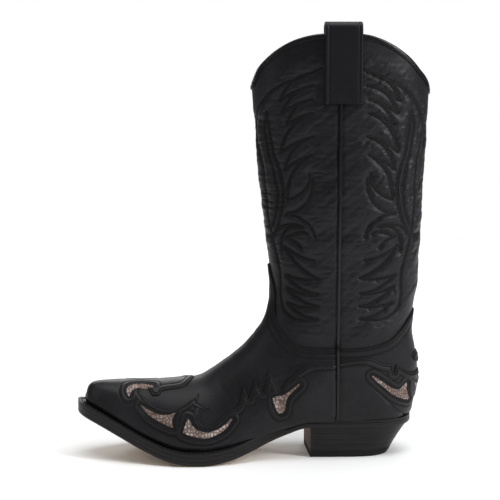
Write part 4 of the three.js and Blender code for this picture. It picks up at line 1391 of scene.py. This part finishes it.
def leg_panel(name, sheet, beyond, lower_edge, node):
    sheet, _ = sheet.cut(beyond)
    sheet, _ = sheet.cut(lambda s: under_topline(s) - 0.9)
    sheet, _ = sheet.cut(lambda s: 8 - lower_edge(s))
    marked = Sheet(np.column_stack([sheet.values, pattern_distance(sheet)]), sheet.faces)
    for ring in (row_spread - 0.5, row_spread, row_spread + 0.6):
        marked, _ = marked.cut(lambda s, ring=ring: s.values[:, 8] - ring, both=True)
    distance = marked.values[:, 8]
    sheet = Sheet(marked.values[:, :8], marked.faces)
    spots = sheet.values[:, :3]
    free = np.clip(-lower_edge(sheet) / 12, 0, 1) * np.clip((under_topline(sheet) - 4) / 12, 0, 1)
    puff = puff_height * (1 - hump(distance, puff_reach)) - valley_depth * hump(distance, valley_reach)
    groove = 0.42 * hump(distance - row_spread, 0.5)
    soft = 0.4 * ripple(spots, 42) + 0.22 * ripple(spots, 17, (1, 1, 1.5)) + 0.1 * ripple(spots, 8)
    drawn = 0.5 * creases(spots, 34, (1, 1, 1.8)) * hump(distance, 16)
    height = shaft_level + free * (puff + soft + drawn) - groove * (free > 0) + beside_seam(sheet, 3.4, 0.8)
    height = np.where(lower_edge(sheet) > 0, np.minimum(height, 0.0), height)
    stitches = Stitches(0.5, 1.5, 1.95, rings=5, sides=5)

    def in_the_open(row):
        spots = Sheet(row, None)
        return (-lower_edge(spots) > 1.5) & (under_topline(spots) > 5)

    stitch_along(stitches, sheet, distance, height, row_spread, lift=0.1, allowed=in_the_open)
    # Painted shade: the leather is darkened along the quilting's stitch lines, in the valleys where the rows
    # sink in.
    dark = 0.85 * groove_shade_and_burnish(distance, (0.0,), 1.9) * (free > 0)
    finish_panel(name, sheet, height, 1.2, leg_calf, [node], shade_marks=dark)
    stitches.add(name + "_stitching", black_thread, "upper_leather")


leg_calf = leather_finish("leg_calf", (0.0052, 0.0047, 0.0063), 0.38, 0.6, 0.08)
leg_panel("leg_front_calf", patch(11.6, 26, -0.66, 0.66, 1.2), ahead_of_seam, under(vamp_edge), "shaft_front")
leg_panel("leg_back_calf", patch(14.4, 26, 0.3, 1.7, 1.2), behind_seam, under(counter_edge), "shaft_back")

# ----------------------------------------
# Side piping: a cord rolled in glossy black goatskin and caught in each side seam,
# from under the pull strap down to the welt.
# ----------------------------------------

strap_top = shaft_height + 10
strap_bottom = strap_top - 70.5
piping_width, piping_depth = 3.4, 1.2
leg_piping_top, foot_piping_top = 2.0, 3.3
step_height = 101.0


def goatskin_finish():
    """Glazed goatskin: glossy black with a fine pebble."""
    finish = Finish("glazed_goatskin")
    pebble = finish.cells(1400)
    cloud = finish.noise(70, 4)
    return finish.surface(
        Base_Color=finish.mix(cloud, (0.003, 0.0028, 0.0034), (0.006, 0.0055, 0.0068)),
        Roughness=0.22 + 0.14 * cloud,
        Coat_Weight=0.25,
        Coat_Roughness=0.2,
        Normal=finish.bump(pebble + cloud, 0.00015, 0.4),
    )


goatskin = goatskin_finish()
across_piping = np.linspace(-1, 1, 15)
seam_sheet = patch(9, 26, 0.25, 0.75, 1.6)
seam_sheet, _ = seam_sheet.cut(on_sole)
seam_sheet, seam_edges = seam_sheet.cut(lambda s: s.values[:, 0] - seam_x, both=True)
seam_run = seam_sheet.values[chained(seam_edges)[0]]
seam_run = seam_run[np.argsort(seam_run[:, 2])]
seam_run = even_line(seam_run[seam_run[:, 2] < shaft_height - 3])
seam_run = resample(seam_run, 240)
for side_name, side in (("lateral", 1), ("medial", -1)):
    spots = seam_run[:, :3].copy()
    lean = unit(seam_run[:, 3:6] * (0, 1, 1))
    up_the_leg = np.clip((spots[:, 2] - ankle_height) / (shaft_height - ankle_height), 0, 1)
    centre = last_centre(seam_x) * (1 - up_the_leg)
    spots[:, 1] = centre + side * (spots[:, 1] - centre)
    lean[:, 1] *= side
    past_step = smoothstep(spots[:, 2], step_height - 3, step_height + 5)
    top = foot_piping_top + (leg_piping_top - foot_piping_top) * past_step
    wobble = 0.1 * ripple(spots, 23)
    grid = []
    for spot, out, crest, drift in zip(spots, lean, top, wobble):
        rise = -piping_depth + (crest + piping_depth) * np.sqrt(1 - across_piping ** 4)
        sides = np.zeros((len(rise), 3))
        sides[:, 0] = side * across_piping * piping_width / 2 * 0.97 + drift
        grid.append(spot + sides + out * rise[:, None])
    rows, columns = len(grid), len(across_piping)
    number = np.arange(rows * columns).reshape(rows, columns)
    faces = np.stack([number[:-1, :-1], number[:-1, 1:], number[1:, 1:], number[1:, :-1]], -1).reshape(-1, 4)
    caps = [tuple(number[0][::-1]), tuple(number[-1])]
    backs = [(number[i, 0], number[i + 1, 0], number[i + 1, -1], number[i, -1]) for i in range(rows - 1)]
    add_piece(f"side_cord_{side_name}", np.concatenate(grid), list(faces[:, ::-1]) + caps + backs, goatskin,
              [f"side_piping_{side_name}"], sharp=60)

# ----------------------------------------
# Topline binding: a thin strip of the same goatskin folded over the raw top edge
# and stitched, one piece round each half of the leg.
# ----------------------------------------

binding_profile = [
    (0.35, -4.0), (0.95, -3.85), (1.1, -3.1), (1.02, -2.4), (1.1, -1.6), (1.0, -0.6), (0.55, 0.15),
    (-0.3, 0.5), (-1.25, 0.58), (-2.2, 0.5), (-3.05, 0.15), (-3.5, -0.6), (-3.6, -1.8), (-3.45, -3.85),
    (-2.9, -4.0),
]
binding_stitches = Stitches(0.45, 1.6, 2.1, rings=5, sides=5)
top_sheet = patch(22.5, 26, -1, 1, 1.8)
top_sheet, top_edges = top_sheet.cut(under_topline)
top_run = top_sheet.values[chained(top_edges)[0]]
top_run = resample(np.concatenate([top_run, top_run[:1]]) if len(top_run) else top_run, 620)
for half_name, keep in (("front", top_run[:, 0] > seam_x), ("back", top_run[:, 0] < seam_x)):
    turned = np.roll(keep, 1)
    first = int(np.argmax(keep & ~turned))
    run = even_line(np.roll(top_run, -first, 0)[np.roll(keep, -first)], 2)
    line, out = run[:, :3], unit(run[:, 3:6])
    along = unit(np.gradient(line, axis=0))
    up = unit(np.cross(along, out))
    up = np.where(up[:, 2:3] < 0, -up, up)
    across, above = (np.array(part)[:, None] for part in zip(*binding_profile))
    loops = [p + o * across + u * above for p, o, u in zip(line, out, up)]
    points, faces = loft(loops, flat_ends=True)
    if np.cross(along[0], out[0])[2] > 0:
        faces = [tuple(face)[::-1] for face in faces]
    add_piece(f"top_binding_{half_name}", points, faces, goatskin,
              [f"topline_binding_{half_name}"], sharp=60)
    binding_stitches.row(line + out * 1.12 - up * 2.4, out)
binding_stitches.add("binding_stitching", black_thread, "trim_leather")

# ----------------------------------------
# Pull straps: thick smooth leather bent over the topline on each side, with its
# edges creased and sewn, and the foot that hangs outside the leg boxed in stitching.
# ----------------------------------------

strap_width, strap_thickness = 33.0, 2.6
strap_centre = 12.0
strap_inner_bottom = strap_top - 55
side_half = 38.0
outer_face, inner_face = 1.7, -5.12
arch_radius = (outer_face - inner_face) / 2
strap_edge_row = 3.1


def strap_finish():
    """Smooth bridle leather: waxed, nearly even, with faint scuffs along it."""
    finish = Finish("strap_leather")
    cloud = finish.noise(40, 4)
    scuff = finish.noise(220, 4, (1, 1, 0.2))
    fine = finish.noise(900, 3)
    return finish.surface(
        Base_Color=finish.mix(cloud, (0.004, 0.0037, 0.0052), (0.007, 0.0064, 0.009)),
        Roughness=0.36 + 0.12 * scuff,
        Coat_Weight=0.06,
        Coat_Roughness=0.3,
        Normal=finish.bump(scuff * 0.5 + fine * 0.4, 0.0002, 0.35),
    )


def strap_path():
    """Places along the strap's inner face as out and up, with the way that face looks, from its outer foot
    over the arch to its inner foot."""
    middle = side_half + (outer_face + inner_face) / 2
    springing = strap_top - strap_thickness - arch_radius
    outer = [(middle + arch_radius, z, 0.0) for z in np.linspace(strap_bottom, springing, 52, endpoint=False)]
    turns = np.linspace(0, math.pi, 22)
    arch = [(middle + arch_radius * math.cos(a), springing + arch_radius * math.sin(a), a) for a in turns]
    inner = [(middle - arch_radius, z, math.pi) for z in np.linspace(springing, strap_inner_bottom, 42)[1:]]
    return outer + arch + inner


def strap_loop(out, up, turn, flat_out, row_z):
    """The strap's section across its width at one place on its path."""
    half = strap_width / 2
    edge_row = half - strap_edge_row
    spread = [half - inset for inset in (0, 0.15, 0.6, 1.4, 2.4)]
    spread += [edge_row - inset for inset in (-0.35, 0, 0.35, 1, 3)] + [6, 2]
    xs = np.array([-x for x in spread] + spread[::-1])
    edge = np.clip((half - np.abs(xs)) / 1.1, 0, 1)
    rise = strap_thickness - 0.9 * (1 - np.sqrt(1 - (1 - edge) ** 2))
    rise -= 0.34 * hump(np.abs(xs) - edge_row, 0.45)
    rise += 0.12 * hump(np.abs(xs) - half + 1.6, 0.8)
    if flat_out:
        for row in row_z:
            rise -= 0.3 * hump(up - row, 0.5) * (np.abs(xs) < box_half + 0.4)
        if box_low < up < box_high:
            rise -= 0.3 * hump(np.abs(xs) - box_half, 0.5)
    look = np.array([math.cos(turn), math.sin(turn)])
    top = np.array([out, up]) + rise[:, None] * look
    foot = np.array([out, up]) + 0.06 * look + 0 * top
    upper = np.column_stack([strap_centre + xs, top])
    lower = np.column_stack([strap_centre + xs, foot])[::-1]
    return np.concatenate([upper, lower])


box_half, box_low, box_high = 10.0, strap_bottom + 2.2, strap_bottom + 14.5
strap_leather = strap_finish()
strap_stitches = Stitches(0.75, 2.2, 2.9)
edge_x = strap_width / 2 - strap_edge_row
for side_name, side in (("lateral", 1), ("medial", -1)):
    path = strap_path()
    flip = np.array([1, side, 1.0])
    loops = []
    for index, (out, up, turn) in enumerate(path):
        loops.append(strap_loop(out, up, turn, turn == 0, (box_low, box_high)) * flip)
    for end, near in ((0, 1), (-1, -2)):
        middle = loops[end].mean(0)
        rounded = loops[end].copy()
        step = unit(loops[end].mean(0) - loops[near].mean(0))
        rounded = middle + (rounded - middle) * np.array([0.97, 0.6, 1.0]) + step * 0.45
        loops = [rounded] + loops if end == 0 else loops + [rounded]
    points, faces = loft(loops, flat_ends=True)
    if side < 0:
        faces = [tuple(face)[::-1] for face in faces]
    add_piece(f"pull_strap_leather_{side_name}", points, faces, strap_leather,
              [f"pull_strap_{side_name}"], sharp=50)
    sewn = [(out + math.cos(turn) * (strap_thickness - 0.2), up + math.sin(turn) * (strap_thickness - 0.2),
             math.cos(turn), math.sin(turn)) for out, up, turn in path]
    for x in (-edge_x, edge_x):
        line = np.array([(strap_centre + x, side * y, z) for y, z, _, _ in sewn])
        looks = np.array([(0, side * ny, nz) for _, _, ny, nz in sewn])
        strap_stitches.row(line[1:-1], looks[1:-1])
    face_y = side * (side_half + outer_face + strap_thickness - 0.22)
    box = [(-box_half, box_low), (-box_half, box_high), (box_half, box_high), (box_half, box_low)]
    for start, end in zip(box, box[1:] + box[:1]):
        line = resample([(strap_centre + x, face_y, z) for x, z in (start, end)], 8)
        strap_stitches.row(line, np.tile((0, side, 0.0), (len(line), 1)))
strap_stitches.add("strap_stitching", black_thread, "strap_leather")

# ----------------------------------------
# Inside the foot: a thin foam pad covered in lining calf under the heel. The insole,
# filler, shank, stiffeners, pegs and nails keep their own shapes and get their finish.
# ----------------------------------------

pad_low, pad_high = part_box("heel_pad")
insole_thickness = 3.0
xs = np.linspace(pad_low.x * 1000 + 0.3, pad_high.x * 1000 - 0.3, 60)
pad_inset = 3.2
plan = last_half(xs) - pad_inset
outer_side = np.column_stack([xs, last_centre(xs) + np.maximum(plan, 0)])
inner_side = np.column_stack([xs, last_centre(xs) - np.maximum(plan, 0)])
pad_loop = resample(np.concatenate([inner_side, outer_side[::-1]]), 161)[:-1]
pad_centre = pad_loop.mean(0)
pad_loops = []
pad_profile = [
    (0.97, 0.0), (1.0, 0.35), (1.0, 0.9), (0.985, 1.4), (0.95, 1.75), (0.88, 1.95), (0.7, 2.08), (0.5, 2.14),
    (0.25, 2.18), (0.05, 2.2),
]
for share, rise in pad_profile:
    flat = pad_centre + (pad_loop - pad_centre) * share
    level = sole_top(flat[:, 0]) + 2 * gap + insole_thickness
    dent = 0.08 * ripple(np.column_stack([flat, level]), 16)
    pad_loops.append(np.column_stack([flat, level + rise + dent * (rise > 1.5)]))
points, faces = loft(pad_loops, flat_ends=True)
pad = add_piece("heel_cushion", points, faces, lining_calf, ["heel_pad"], sharp=60)


def plain_finish(name, dark, light, rough, grain, stretch=(1, 1, 1), metal=0.0, depth=0.0002):
    """A worked raw material with its own grain."""
    finish = Finish(name)
    pattern = finish.noise(grain, 5, stretch)
    fine = finish.noise(grain * 5, 3, stretch)
    return finish.surface(
        Base_Color=finish.mix((pattern * 0.7 + fine * 0.3).step(0.35, 0.68), dark, light),
        Roughness=rough + 0.15 * fine,
        Metallic=metal,
        Normal=finish.bump(pattern * 0.6 + fine * 0.6, depth, 0.5),
    )


kept_nodes = [
    (plain_finish("insole_bend", (0.36, 0.25, 0.15), (0.5, 0.37, 0.24), 0.6, 120), ["insole"]),
    (plain_finish("celastic_board", (0.3, 0.27, 0.22), (0.42, 0.38, 0.32), 0.75, 260),
     ["toe_puff", "vamp_backing", "counter_stiffener"]),
    (plain_finish("cork_filling", (0.2, 0.12, 0.065), (0.42, 0.29, 0.17), 0.85, 420, depth=0.0006),
     ["cork_filler"]),
    (plain_finish("shank_steel", (0.42, 0.42, 0.43), (0.55, 0.55, 0.56), 0.3, 300, (0.1, 1, 1), 1.0, 0.00005),
     ["shank"] + [f"heel_nail_{n}" for n in range(1, 6)]),
    (plain_finish("lemonwood", (0.5, 0.37, 0.2), (0.66, 0.52, 0.32), 0.6, 500, (1, 1, 0.15)),
     [f"waist_peg_{n}" for n in range(1, 7)]),
]
for material, nodes in kept_nodes:
    for node in nodes:
        for place in bpy.data.objects[node].material_slots:
            place.material = material
upper_stitches.add("upper_stitching", black_thread, "upper_leather")
